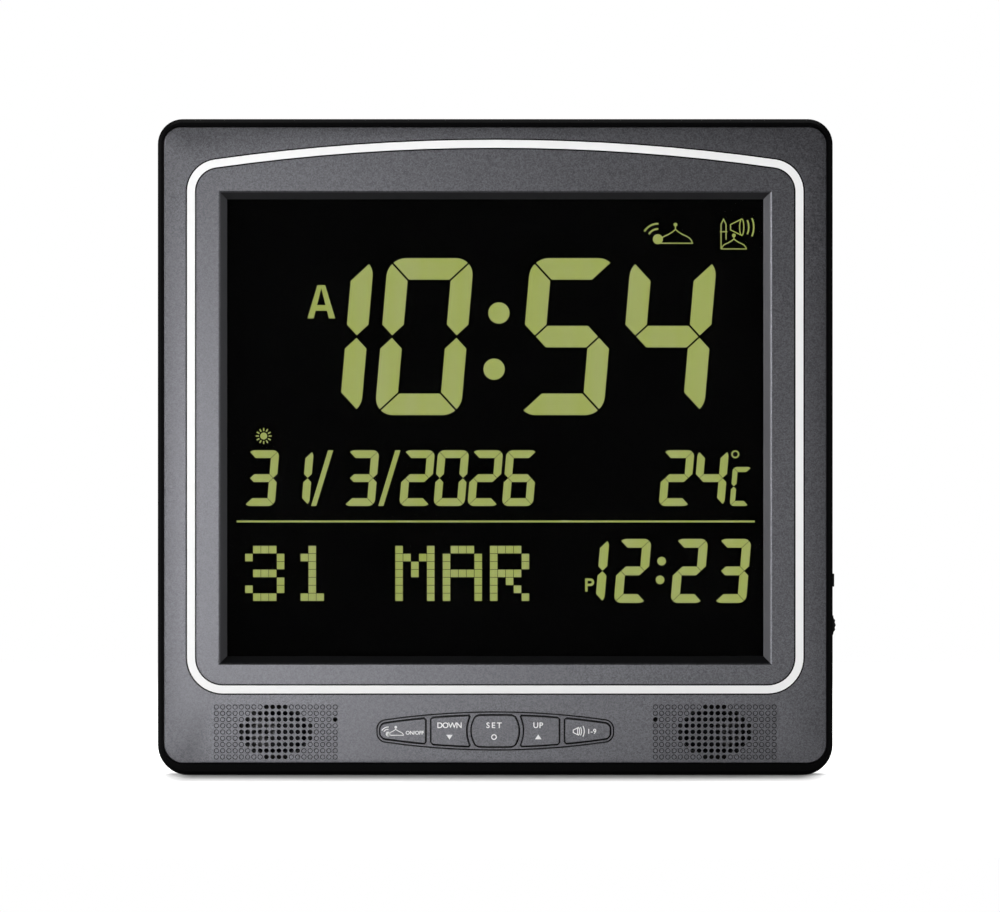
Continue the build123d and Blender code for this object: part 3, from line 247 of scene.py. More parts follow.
def graphite_paint(name, level, deep, shade):
    """Grey paint with metal flakes, of that mean linear level, with painted shade: a share of it
    further down.
    """
    paint = Finish(name)
    grains = {"Vector": paint.place(), "Scale": 1 / FLAKE_SIZE}
    flakes = paint.node("ShaderNodeTexVoronoi", {}, grains).out("Color")
    flake = paint.node("ShaderNodeSeparateColor", {}, {"Color": flakes})
    peel = paint.noise(1 / PEEL_SIZE, 3.0)
    clouds = paint.noise(CLOUDS_TO_A_METRE)
    share = (flake * 0.6 + peel * 0.4) * 0.9 + clouds * 0.1
    colour = paint.blend(share, grey(level * 0.5, 1.08), grey(level * 1.54, 1.1))
    # Painted shade: past the shade depths the colour falls to the deep share of its level.
    sockets = {
        "Base Color": paint.blend(paint.sunk(*shade), colour, grey(level * deep, 1.08)),
        "Metallic": 0.88,
        "Roughness": 0.32 + flake * 0.12,
        "Normal": paint.relief(flake * 0.5 + peel * 0.5, FLAKE_RELIEF, 0.35),
    }
    return paint.surface(sockets)


paint_face = graphite_paint("graphite_face", PAINT_LEVEL, 0.3, FACE_SHADE)
paint_keys = graphite_paint("graphite_keys", PAINT_LEVEL, GAP_SHADE_LEVEL, KEY_SHADE)
paint_plate = graphite_paint("graphite_plate", PAINT_LEVEL, GAP_SHADE_LEVEL, PLATE_SHADE)
paint_shade = graphite_paint("graphite_painted_shade", PAINTED_SHADE_LEVEL, 0.2, FACE_SHADE)
print("graphite paint made")

# %% [markdown]
# ## Black moulded plastic
#
# The tray, the door and the stand are black plastic from a mould that was etched with a fine
# grain.  The grain is a bump of small round pits, and the gloss varies slightly over it, as the
# high spots polish with handling.  The front rim of the tray is the deepest black, a darker colour
# that is painted shade.  Behind it a thin coat gives the sides a soft sheen, so that they don't
# turn into one dark shape.

# %% Black moulded plastic
WEAR_TO_A_METRE = 35.0
GRAIN_SIZE = 0.55 * MM
GRAIN_RELIEF = 0.014 * MM
RIM_DEPTH = 2.5 * MM


def moulded_plastic(name, colour, rough, pit_size=1.2, pit_depth=0.01, shine=0.5):
    """Plastic from an etched mould: a gloss that varies, and pits whose size is in millimetres."""
    plastic = Finish(name)
    pits = plastic.noise(1 / (pit_size * MM), 3.0)
    wear = plastic.noise(WEAR_TO_A_METRE, 3.0)
    sockets = {
        "Base Color": plastic.blend(wear, colour, scaled(colour, 1.25)),
        "Roughness": rough - 0.06 + wear * 0.12,
        "Normal": plastic.relief(pits, pit_depth * MM),
        "Specular IOR Level": shine,
    }
    return plastic.surface(sockets)


def tray_plastic():
    """Etched black plastic with painted shade on its front rim, and a sheen that starts behind it.
    """
    plastic = Finish("black_grained")
    wear = plastic.noise(WEAR_TO_A_METRE, 3.0)
    # Painted shade: in front of these depths, on the rim, the colour is a deeper black.
    back = plastic.sunk(RIM_DEPTH, 2 * RIM_DEPTH)
    side = plastic.blend(wear, grey(0.011), grey(0.016))
    sockets = {
        "Base Color": plastic.blend(back, grey(0.002, 1.1), side),
        "Roughness": 0.4 + wear * 0.1,
        "Specular IOR Level": 0.02,
        "Coat Weight": back * 0.9,
        "Coat Roughness": 0.38,
        "Normal": plastic.relief(plastic.noise(1 / GRAIN_SIZE, 3.0), GRAIN_RELIEF),
    }
    return plastic.surface(sockets)


black_grained = tray_plastic()
black_plain = moulded_plastic("black_plain", grey(0.007, 1.1), 0.4, shine=0.3)
holder_grey = moulded_plastic("holder_grey", grey(0.05), 0.5)
white_plain = moulded_plastic("white_plain", (0.72, 0.72, 0.69, 1.0), 0.45)
white_film = moulded_plastic("white_film", (0.85, 0.85, 0.83, 1.0), 0.6, 2.0, 0.004)
soft_rubber = moulded_plastic("soft_rubber", grey(0.006), 0.8, 0.7, 0.02, 0.1)
print("moulded plastics made")

# %% [markdown]
# ## White trim line
#
# The trim is a strip of white plastic that is pressed into a groove.  Its front is what shows.
# Below the face its sides are painted dark, as painted shade for the narrow gap beside it, and
# the strip gets the thin dark outline that sets it off from the paint.

# %% White trim
# Depths behind the face over which painted shade darkens the strip's sides.
TRIM_SHADE = (0.06 * MM, 0.25 * MM)


def trim_finish():
    """White plastic with painted shade down the sides of its groove."""
    finish = Finish("trim_white")
    waves = finish.noise(300.0)
    white = finish.blend(waves, grey(0.87), grey(0.9))
    sockets = {
        "Base Color": finish.blend(finish.sunk(*TRIM_SHADE), white, grey(0.01)),
        "Roughness": 0.4 + waves * 0.1,
        "Specular IOR Level": 0.3,
        "Normal": finish.relief(waves, 0.004 * MM),
    }
    return finish.surface(sockets)


trim_white = trim_finish()
print("trim white made")

# %% [markdown]
# ## Camera
#
# The clock is looked at square on, from far enough away that its sides hardly show.  A lens of a
# long focal length does that.  The camera stands opposite the middle of the view, and its
# distance follows from the width that the view spans at the face of the clock.

# %% Camera
VIEW_WIDTH = 400.0 * MM
VIEW_MIDDLE_X = 1.9 * MM
VIEW_MIDDLE_Z = 127.6 * MM
FOCAL_LENGTH = 0.5
SENSOR_WIDTH = 0.036

camera_distance = VIEW_WIDTH * FOCAL_LENGTH / SENSOR_WIDTH
camera_data = bpy.data.cameras.new("camera")
camera_data.lens = FOCAL_LENGTH / MM
camera_data.sensor_width = SENSOR_WIDTH / MM
camera_data.clip_start = 0.05
camera_data.clip_end = 30.0
camera = add_object("camera", camera_data)
camera.location = (VIEW_MIDDLE_X, face_y - camera_distance, VIEW_MIDDLE_Z)
camera.rotation_euler = (pi / 2, 0, 0)
bpy.context.scene.camera = camera
bpy.context.scene.view_settings.view_transform = "Standard"
print("camera stands", round(camera_distance, 2), "m away")

# %% [markdown]
# ## Studio
#
# The clock stands on a wide pale floor with nothing behind it but white.  The floor is lit by the
# lamps like everything else.  Further out it also gives light of its own, which only the camera
# sees, straight or through glass, so that it runs into the white without a line.  Right round the
# foot of the clock it has none, and there its colour is darker too: a painted shadow that adds to
# the one the lamps cast.

# %% Floor
FLOOR_FRONT = -1.15
FLOOR_BACK = 3.0
FLOOR_SIDE = 3.0
SHADOW_SIDE = 0.12
SHADOW_DEPTH = 0.016
SHADOW_SQUEEZE = 9.0
SHADOW_STRETCH = 1.3
# Distance over which the painted shadow round the foot fades out.
FOOT_SHADE = 0.06
GLOW_START = 0.02
GLOW_END = 0.13


def floor_finish():
    """Pale matt floor with a painted shadow round the foot, and light of its own for the camera and
    for glass.
    """
    finish = Finish("studio_floor")
    path = finish.node("ShaderNodeLightPath")
    seen = path.out("Is Camera Ray") + path.out("Is Transmission Ray")
    aside = (finish.along("X").magnitude() - SHADOW_SIDE).above_zero() * SHADOW_SQUEEZE
    ahead = (finish.along("Y").magnitude() - SHADOW_DEPTH).above_zero() / SHADOW_STRETCH
    away = (aside * aside + ahead * ahead) ** 0.5
    pale = finish.blend(finish.noise(3.0), grey(0.78), grey(0.8))
    # Painted shadow: the colour is darker round the foot of the clock.
    colour = finish.blend((away / FOOT_SHADE).limit(), grey(0.36), pale)
    matt = finish.node("ShaderNodeBsdfDiffuse", {}, {"Color": colour})
    far = ((away - GLOW_START) / (GLOW_END - GLOW_START)).limit()
    light = finish.blend(far * far, grey(0.0), grey(1.0))
    glow = finish.node("ShaderNodeEmission", {}, {"Color": light})
    both = finish.node("ShaderNodeAddShader", {}, {0: matt, 1: glow})
    return finish.close(finish.node("ShaderNodeMixShader", {}, {0: seen.limit(), 1: matt, 2: both}))


corners = [(-FLOOR_SIDE, FLOOR_FRONT), (FLOOR_SIDE, FLOOR_FRONT)]
corners += [(FLOOR_SIDE, FLOOR_BACK), (-FLOOR_SIDE, FLOOR_BACK)]
floor_data = bpy.data.meshes.new("studio_floor")
floor_data.from_pydata([(x, y, 0.0) for x, y in corners], [], [(0, 1, 2, 3)])
floor_data.materials.append(floor_finish())
floor = add_object("studio_floor", floor_data)
print("floor made")

# %% [markdown]
# ## Lamps and the room
#
# Metal flakes shine only where a lamp is nearly in line, so two small lamps in front give the face
# its slow change from light to dark.  Both are narrow strips, placed so that the window mirrors
# neither of them to the camera.  A large one far to the left lights the white parts evenly, and
# weak ones at the sides reach the bevels of the window.  One overhead draws the soft shadow at the
# foot, and one behind lights only the back.  The room is white behind the clock and dark in front
# of it, so the display doesn't mirror anything bright.

# %% Lamps and world
LAMPS = [
    # name, place, aimed at, width, height, power in watts
    ("key_lamp", (-0.152, -0.7, 0.12), (-0.04, 0, 0.12), 0.05, 0.2, 0.76),
    ("chin_lamp", (-0.055, -0.8, 0.02), (-0.02, 0, 0.03), 0.2, 0.018, 0.29),
    ("left_lamp", (-2.4, -1.5, 0.4), (0, 0, 0.13), 1.4, 1.4, 79.0),
    ("left_side_lamp", (-1.5, -0.5, 0.3), (0, 0, 0.13), 0.8, 0.8, 9.4),
    ("right_side_lamp", (1.5, -0.5, 0.3), (0, 0, 0.13), 0.8, 0.8, 4.0),
    ("top_lamp", (0.0, 0.33, 1.4), (0, 0.33, 0.0), 1.6, 0.62, 17.0),
    ("back_lamp", (0.7, 1.8, 0.9), (0, 0, 0.13), 1.0, 1.0, 13.0),
]
for name, place, target, width, height, power in LAMPS:
    lamp_data = bpy.data.lights.new(name, "AREA")
    lamp_data.shape = "RECTANGLE"
    lamp_data.size = width
    lamp_data.size_y = height
    lamp_data.energy = power
    lamp = add_object(name, lamp_data)
    lamp.location = place
    lamp.rotation_euler = (Vector(target) - Vector(place)).to_track_quat("-Z", "Y").to_euler()

ROOM_LEVEL = 0.01
room = Finish("studio_room", "worlds", "ShaderNodeOutputWorld")
path = room.node("ShaderNodeLightPath")
direction = room.node("ShaderNodeTexCoord").out("Generated")
backward = room.node("ShaderNodeSeparateXYZ", {}, {"Vector": direction}).out("Y")
mirrored_rays = path.out("Is Glossy Ray") + path.out("Is Transmission Ray")
white = (path.out("Is Camera Ray") + mirrored_rays * (backward * 2).limit()).limit()
light = {"Color": grey(1.0), "Strength": white * (1 - ROOM_LEVEL) + ROOM_LEVEL}
bpy.context.scene.world = room.close(room.node("ShaderNodeBackground", {}, light))
print("lamps:", len(LAMPS))

# %% [markdown]
# ## Finishes of the parts that keep their moulded shape
#
# Most parts of the model already have the right shape, so they only need their finish.  Metals get
# a fine grain in their gloss, boards get bands of copper under green lacquer, and the display gets
# clear and nearly black sheets.  One table then says which parts wear which finish.


# %% Metals, boards and glass
def metal(name, colour, rough, grain):
    """Plated or drawn metal, with a fine grain in its gloss."""
    finish = Finish(name)
    fine = finish.noise(1 / grain, 3.0)
    sockets = {
        "Base Color": finish.blend(fine, colour, scaled(colour, 0.82)),
        "Metallic": 1.0,
        "Roughness": rough + fine * 0.12,
        "Normal": finish.relief(fine, 0.004 * MM, 0.4),
    }
    return finish.surface(sockets)


def circuit_board():
    """Green solder mask with the copper showing through as slightly paler bands."""
    finish = Finish("solder_mask")
    stops = [(0.47, grey(0.0)), (0.5, grey(1.0)), (0.55, grey(0.0))]
    band = finish.node("ShaderNodeValToRGB", {"stops": stops}, {"Fac": finish.noise(260.0, 1.0)})
    sockets = {
        "Base Color": finish.blend(band, (0.012, 0.11, 0.04, 1.0), (0.03, 0.2, 0.08, 1.0)),
        "Roughness": 0.35,
        "Normal": finish.relief(band, 0.03 * MM),
    }
    return finish.surface(sockets)


def clear_plastic():
    """Clear plastic with a thin coat that dulls its reflections."""
    finish = Finish("clear_window")
    sockets = {
        "Base Color": grey(1.0),
        "Roughness": 0.015 + finish.noise(9.0, 1.0) * 0.01,
        "IOR": 1.15,
        "Transmission Weight": 1.0,
        "Specular IOR Level": 0.05,
    }
    return finish.surface(sockets)


def dark_glass():
    """The display cell with its dark film: black until something behind it is lit."""
    finish = Finish("dark_display_cell")
    haze = finish.noise(12.0)
    sockets = {
        "Base Color": finish.blend(haze, grey(0.0012), grey(0.0018)),
        "Roughness": 0.3 + haze * 0.1,
        "Specular IOR Level": 0.0,
    }
    return finish.surface(sockets)


# Where the painted highlights sit: round the outer flank of each cone.
FLANK_X = 93.5 * MM
FLANK_Z = 18.0 * MM
FLANK_HALF_WIDTH = 6.5 * MM
FLANK_HALF_HEIGHT = 8.0 * MM
SCUFF_AND_GLINT_SIZE = 2.2 * MM


def cone_paper():
    """Blue-black cone with a scuffed gloss; its outer flank, which leans to the light, has pale
    patches that are painted highlights.
    """
    finish = Finish("speaker_cone_black")
    scuffs_and_glints = finish.noise(1 / SCUFF_AND_GLINT_SIZE)
    aside = (finish.along("X").magnitude() - FLANK_X) / FLANK_HALF_WIDTH
    upward = (finish.along("Z") - FLANK_Z) / FLANK_HALF_HEIGHT
    flank = (1.6 - (aside * aside + upward * upward) * 1.6).limit()
    # Painted highlight: pale patches on the flank stand in for glints of the lamps.
    pale = flank * ((scuffs_and_glints - 0.42) * 6).limit()
    sockets = {
        "Base Color": finish.blend(pale, (0.0012, 0.0012, 0.004, 1.0), grey(0.22)),
        "Roughness": 0.45 - scuffs_and_glints * 0.1,
        "Specular IOR Level": 0.1,
        "Normal": finish.relief(scuffs_and_glints, 0.02 * MM),
    }
    return finish.surface(sockets)


steel = metal("zinc_plate", (0.58, 0.58, 0.6, 1.0), 0.28, 0.6 * MM)
nickel = metal("nickel_plate", (0.72, 0.7, 0.66, 1.0), 0.18, 1.5 * MM)
board_green = circuit_board()
window_clear = clear_plastic()
cell_dark = dark_glass()
cone_black = cone_paper()
sleeve_blue = moulded_plastic("sleeve_dark_blue", (0.02, 0.03, 0.1, 1.0), 0.3, 3.0, 0.004)
battery_grey = moulded_plastic("battery_sleeve", (0.08, 0.09, 0.1, 1.0), 0.25, 3.0, 0.004)
resin_black = moulded_plastic("black_resin", grey(0.006), 0.3, 2.0, 0.05)
stem_red = moulded_plastic("switch_stem_red", (0.2, 0.015, 0.012, 1.0), 0.35, 1.5, 0.004)
frame_black = moulded_plastic("speaker_frame_black", grey(0.004), 0.45, 0.8, 0.02, 0.2)
print("metals, boards and glass made")

# %% Dress the moulded parts
FINISHES = (
    (black_grained, "rear_cabinet battery_door stand_leg"),
    (black_plain, "dc_jack volume_pot volume_wheel slide_knob"),
    (paint_keys, "key_azan key_down key_set key_up key_tune"),
    (paint_plate, "key_plate"),
    (trim_white, "trim_ring"),
    (window_clear, "display_lens light_guide"),
    (cell_dark, "lcd_front_glass lcd_rear_glass"),
    (white_film, "diffuser_sheet reflector_sheet"),
    (white_plain, "led_strip"),
    (holder_grey, "lcd_holder"),
    (soft_rubber, "zebra_strip speaker_gaskets leg_pad"),
    (board_green, "key_board main_board side_board"),
    (resin_black, "clock_chip sound_chip thermistor"),
    (sleeve_blue, "capacitors"),
    (steel, "tact_switches crystal speaker_magnets slide_switch"),
    (steel, "case_screws holder_screws board_screws small_screws"),
    (stem_red, "switch_stem_azan switch_stem_down switch_stem_set"),
    (stem_red, "switch_stem_up switch_stem_tune"),
    (frame_black, "speaker_baskets"),
    (cone_black, "speaker_cones"),
    (battery_grey, "battery_1 battery_2 battery_3"),
    (nickel, "contact_plates contact_springs"),
)
dressed = 0
for finish, names in FINISHES:
    for name in names.split():
        data = nodes[name].data
        data.materials.clear()
        data.materials.append(finish)
        dressed += 1
print("dressed", dressed, "of", len(nodes))

# %% [markdown]
# ## New pieces
#
# A new piece is a mesh that rides on one body of the model, and it may stand for a part that the
# model drew more plainly.  One helper does this for every piece, so that none is forgotten.

# %% A helper for new pieces
CREASE = radians(32)
SAME_POINT = 0.0005 * MM


def add_piece(name, mesh, body, finish, stands_for=None):
    """Makes an object of a mesh, lets it ride on a body, and hides the part that it stands for."""
    mesh.materials.clear()
    mesh.materials.append(finish)
    piece = add_object(name, mesh)
    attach(piece, body)
    if stands_for:
        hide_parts(stands_for)
    print(name, "faces:", len(mesh.polygons))


def smoothed(mesh):
    """The mesh with smooth faces and sharp creases."""
    for face in mesh.polygons:
        face.use_smooth = True
    mesh.set_sharp_from_angle(angle=CREASE)
    return mesh


def to_mesh(name, shape):
    """Turns a bmesh into a smooth mesh whose faces look outwards."""
    mesh = bpy.data.meshes.new(name)
    bmesh.ops.recalc_face_normals(shape, faces=shape.faces[:])
    shape.to_mesh(mesh)
    shape.free()
    return smoothed(mesh)


def joined_copy(node):
    """The part's own mesh as a bmesh, with the corners of its triangles joined."""
    own = nodes[node].data.copy()
    for attribute in [a for a in own.attributes if a.name == "custom_normal"]:
        own.attributes.remove(attribute)
    shape = bmesh.new()
    shape.from_mesh(own)
    bpy.data.meshes.remove(own)
    bmesh.ops.remove_doubles(shape, verts=shape.verts[:], dist=SAME_POINT)
    return shape


def worked_out(thing):
    """Mesh of an object after its modifiers or letter shapes.  The object itself goes."""
    ready = thing.evaluated_get(bpy.context.evaluated_depsgraph_get())
    mesh = bpy.data.meshes.new_from_object(ready)
    bpy.data.objects.remove(thing)
    return mesh


print("piece helpers ready")

# %% [markdown]
# ## Front shell with its grilles
#
# Each speaker sits behind a field of small holes, twenty across and nine down.  Only those in
# front of the cone go through.  The rest are shallow dimples that carry the pattern on.  The model
# has the open holes with six sides, which is enough for a solid.  Here the same shell is cut
# again with round holes a little wider, and with a small dish for every dimple.  The same cut
# widens the groove of the trim and takes the sharp front edge off.  A Boolean modifier does the
# cutting, because the holes must be exact and the face around them flat.

# %% Where the holes are
GRILLE_MIDDLE_X = 87.8 * MM
GRILLE_MIDDLE_Z = 17.2 * MM
GRILLE_PITCH = 2.5 * MM
GRILLE_COLUMNS = 20
OPEN_IN_ROW = (4, 8, 10, 12, 12, 12, 10, 8, 4)
MICROPHONE_ROW = 2


def grille_places(side):
    """Open holes and dimples of one grille, as two lists of (x, z).  Side is -1 or 1."""
    open_holes, dimples = [], []
    for row, count in enumerate(OPEN_IN_ROW):
        z = GRILLE_MIDDLE_Z + (len(OPEN_IN_ROW) / 2 - 0.5 - row) * GRILLE_PITCH
        for column in range(GRILLE_COLUMNS):
            across = column - GRILLE_COLUMNS / 2 + 0.5
            inner = side * across < 1 - GRILLE_COLUMNS / 2
            is_open = abs(across) < count / 2 or (row == MICROPHONE_ROW and inner)
            place = (side * GRILLE_MIDDLE_X + across * GRILLE_PITCH, z)
            (open_holes if is_open else dimples).append(place)
    return open_holes, dimples


left_open, left_dimples = grille_places(-1)
right_open, right_dimples = grille_places(1)
open_holes, dimples = left_open + right_open, left_dimples + right_dimples
print("open holes:", len(open_holes), "dimples:", len(dimples))

# %% The cutters
HOLE_SIDES = 20
CUT_START = 0.3 * MM
SHELL_WALL = 2.5 * MM
# Rings of each cutter as (radius, depth behind the face).
HOLE_PROFILE = ((0.97 * MM, -CUT_START), (0.97 * MM, SHELL_WALL + CUT_START))
DIMPLE_DEPTH = 0.3 * MM
DIMPLE_PROFILE = ((1.02 * MM, -CUT_START), (1.02 * MM, 0.0), (0.74 * MM, DIMPLE_DEPTH))
SHELL_LOW_RADIUS = 8.0 * MM
SHELL_TOP_RADIUS = 7.0 * MM
CORNER_STEPS = 12
EDGE_RADIUS = 0.6 * MM
EDGE_MARGIN = 0.25 * MM
EDGE_STEPS = 5
shell_low, shell_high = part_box("front_shell")


def circle(x, z, radius, sides=28):
    """Points round a circle on the face."""
    turns = [2 * pi * step / sides for step in range(sides)]
    return [(x + radius * cos(turn), z + radius * sin(turn)) for turn in turns]


def add_round_cutter(shape, x, z, profile):
    """Closed round cutter that goes into the face, ring by ring."""
    rings = []
    for radius, depth in profile:
        points = circle(x, z, radius, HOLE_SIDES)
        rings.append([shape.verts.new((px, face_y + depth, pz)) for px, pz in points])
    for outer, inner in zip(rings, rings[1:]):
        for step in range(HOLE_SIDES):
            after = (step + 1) % HOLE_SIDES
            shape.faces.new((outer[step], outer[after], inner[after], inner[step]))
    shape.faces.new(rings[-1])
    shape.faces.new(rings[0][::-1])


def shell_outline():
    """Points (x, z, outward x, outward z) round the upright face with its round corners."""
    points = []
    for number, (side, upper) in enumerate([(1, 0), (1, 1), (-1, 1), (-1, 0)]):
        radius = SHELL_TOP_RADIUS if upper else SHELL_LOW_RADIUS
        middle_x = side * (shell_high.x - radius)
        middle_z = shell_high.z - radius if upper else shell_low.z + radius
        for step in range(CORNER_STEPS + 1):
            turn = pi / 2 * (number - 1 + step / CORNER_STEPS)
            out = (cos(turn), sin(turn))
            points.append((middle_x + radius * out[0], middle_z + radius * out[1], *out))
    return points


def add_edge_cutter(shape, outline):
    """Closed ring that takes the sharp front edge off the shell and leaves it round."""
    profile = [(EDGE_MARGIN, -EDGE_MARGIN), (-EDGE_RADIUS, -EDGE_MARGIN)]
    for step in range(EDGE_STEPS + 1):
        turn = pi / 2 * step / EDGE_STEPS
        profile.append((EDGE_RADIUS * (sin(turn) - 1), EDGE_RADIUS * (1 - cos(turn))))
    profile.append((EDGE_MARGIN, EDGE_RADIUS))
    rings = []
    for x, z, out_x, out_z in outline:
        places = [(x + out_x * out, face_y + depth, z + out_z * out) for out, depth in profile]
        rings.append([shape.verts.new(place) for place in places])
    for number, here in enumerate(rings):
        after = rings[(number + 1) % len(rings)]
        for step in range(len(profile)):
            follow = (step + 1) % len(profile)
            shape.faces.new((here[step], after[step], after[follow], here[follow]))


shell_points = shell_outline()
print("points round the shell:", len(shell_points))

# %% Put the cutters together
GROOVE_DEPTH = 1.0 * MM
GROOVE_GROWTH = 0.45 * MM
GROOVE_SPARE = 0.02 * MM
STEEP = 0.5


def shift_walls(shape, amount):
    """Moves every corner on an upright wall outwards, square to the walls that meet there."""
    shape.normal_update()
    moves = {}
    for corner in shape.verts:
        walls = [face.normal for face in corner.link_faces if abs(face.normal.y) < STEEP]
        if walls:
            moves[corner] = sum(walls, Vector()).normalized() * amount
    for corner, move in moves.items():
        corner.co += move
    return shape


cutters = shift_walls(joined_copy("trim_ring"), GROOVE_GROWTH)
for corner in cutters.verts:
    is_front = corner.co.y < face_y + GROOVE_DEPTH / 2
    corner.co.y = face_y - CUT_START if is_front else face_y + GROOVE_DEPTH + GROOVE_SPARE
add_edge_cutter(cutters, shell_points)
for x, z in open_holes:
    add_round_cutter(cutters, x, z, HOLE_PROFILE)
for x, z in dimples:
    add_round_cutter(cutters, x, z, DIMPLE_PROFILE)
cutter_mesh = to_mesh("grille_cutters", cutters)
print("cutter faces:", len(cutter_mesh.polygons))

# %% Cut the shell
blank = add_object("shell_blank", to_mesh("shell_blank", joined_copy("front_shell")))
tool = add_object("grille_tool", cutter_mesh)
cut = blank.modifiers.new("cut", "BOOLEAN")
cut.operation = "DIFFERENCE"
cut.solver = "EXACT"
cut.object = tool
shell_mesh = smoothed(worked_out(blank))
bpy.data.objects.remove(tool)
add_piece("front_shell_cut", shell_mesh, "case", paint_face, "front_shell")

# %% [markdown]
# The walls of the groove and of the key opening, the floor of the groove, the walls of the dimples
# and the round outer edge take a second, darker finish on the same mesh.  It is painted shade.

# %% Painted shade on walls and edges
TURNED = 0.97
GRILLE_HALF = 26.0 * MM
RIM_BAND = 1.1 * MM
FLOOR_TOLERANCE = 0.05 * MM
TRIM_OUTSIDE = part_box("trim_ring")[1].x + RIM_BAND


def takes_painted_shade(face):
    """Whether a face gets painted shade: a wall, the groove's floor, a dimple or the round edge."""
    lean, depth = abs(face.normal.y), face.center.y - face_y
    x, z = abs(face.center.x), face.center.z
    in_grille = abs(x - GRILLE_MIDDLE_X) < GRILLE_HALF and z < 2 * GRILLE_MIDDLE_Z
    foot = depth > 0 and z < shell_low.z + RIM_BAND
    rolled = depth < EDGE_RADIUS and (foot or z > shell_high.z - RIM_BAND or x > TRIM_OUTSIDE)
    dimple_wall = in_grille and depth < DIMPLE_DEPTH
    wall = lean < STEEP and not in_grille
    groove_floor = abs(depth - GROOVE_DEPTH) < FLOOR_TOLERANCE
    return wall or groove_floor or (lean < TURNED and (rolled or dimple_wall))


# Painted shade: the faces picked below get the darker finish.
shell_mesh.materials.append(paint_shade)
for face in shell_mesh.polygons:
    if takes_painted_shade(face):
        face.material_index = 1
print("bare faces:", sum(face.material_index for face in shell_mesh.polygons))

# %% [markdown]
# The trim strip is a hair narrower than its groove allows, so that the dark line beside it shows.
# The plate round the keys gets the same tuck on every wall.

# %% Slim trim and key plate
TRIM_TUCK = 0.12 * MM

for name, node, finish, slot in (
    ("key_frame", "key_plate", paint_plate, "graphite_paint"),
    ("trim_strip", "trim_ring", trim_white, "white_trim"),
):
    slim = shift_walls(joined_copy(node), -TRIM_TUCK)
    add_piece(name, to_mesh(name, slim), "case", finish, node)

# %% [markdown]
# ## What the display shows
#
# The display is a liquid crystal cell that is black all over, with a yellow-green lamp behind it.
# Where a segment is switched on, the light comes through.  Real segments are exact flat shapes,
# so each is drawn as a thin plate in front of the cell with a finish that gives its own light.
# A digit is seven such plates.  They are cut apart along slanted lines, the outer corners are
# round, and the whole digit leans a little to the right.

# %% Plates for segments, letters and signs
SHARPEST_BEND = 0.4


def plates(outlines, near, thickness):
    """Thin plates of those outlines of (x, z) points, with their fronts at the near depth."""
    shape = bmesh.new()
    for outline in outlines:
        front = [shape.verts.new((x, near, z)) for x, z in outline]
        back = [shape.verts.new((x, near + thickness, z)) for x, z in outline]
        shape.faces.new(front)
        shape.faces.new(back[::-1])
        for step in range(len(outline)):
            after = (step + 1) % len(outline)
            shape.faces.new((front[after], front[step], back[step], back[after]))
    return shape


def bar(start, end, width):
    """Outline of a straight stroke between two points."""
    (x0, z0), (x1, z1) = start, end
    along = Vector((x1 - x0, z1 - z0)).normalized() * width / 2
    side = Vector((-along.y, along.x))
    return [
        (x0 + side.x, z0 + side.y),
        (x0 - side.x, z0 - side.y),
        (x1 - side.x, z1 - side.y),
        (x1 + side.x, z1 + side.y),
    ]


def ribbon(points, width):
    """Outline of a bent stroke along points, with mitred bends."""
    left, right = [], []
    for step, (x, z) in enumerate(points):
        before = Vector(points[max(step - 1, 0)])
        after = Vector(points[min(step + 1, len(points) - 1)])
        here = Vector((x, z))
        arms = [way.normalized() for way in (here - before, after - here) if way.length > 0]
        along = sum(arms, Vector((0, 0))).normalized()
        side = Vector((-along.y, along.x))
        bend = abs(side.dot(Vector((-arms[0].y, arms[0].x))))
        stretch = width / 2 / max(SHARPEST_BEND, bend)
        left.append((x + side.x * stretch, z + side.y * stretch))
        right.append((x - side.x * stretch, z - side.y * stretch))
    return left + right[::-1]


def arc(x, z, radius, first, last, steps=8):
    """Points along an arc, with its angles in degrees."""
    turns = [radians(first + (last - first) * step / steps) for step in range(steps + 1)]
    return [(x + radius * cos(turn), z + radius * sin(turn)) for turn in turns]


def ring(x, z, outer, inner, steps=14):
    """Outlines of the two halves of a ring."""
    halves = []
    for first in (0, 180):
        out = arc(x, z, outer, first, first + 180, steps)
        halves.append(out + arc(x, z, inner, first + 180, first, steps))
    return halves


print("plate helpers ready")

# %% [markdown]
# ## One digit
#
# A digit is worked out in an upright box first.  The line between two segments runs at 45 degrees
# through the corner of the box, and half the gap is taken off each side of it.  A rounded corner
# ends where the circle meets that line.  Last, every point is pushed sideways by its height.

# %% Seven segments
# They are called a to f clockwise from the top, and g is the middle one.
SEGMENTS = dict(zip("0123456C", "abcdef bc abdeg abcdg bcfg acdfg acdefg adef".split()))
LEAN = tan(radians(4.9))
CORNER_SHARE = 0.84
BEND_STEPS = 5


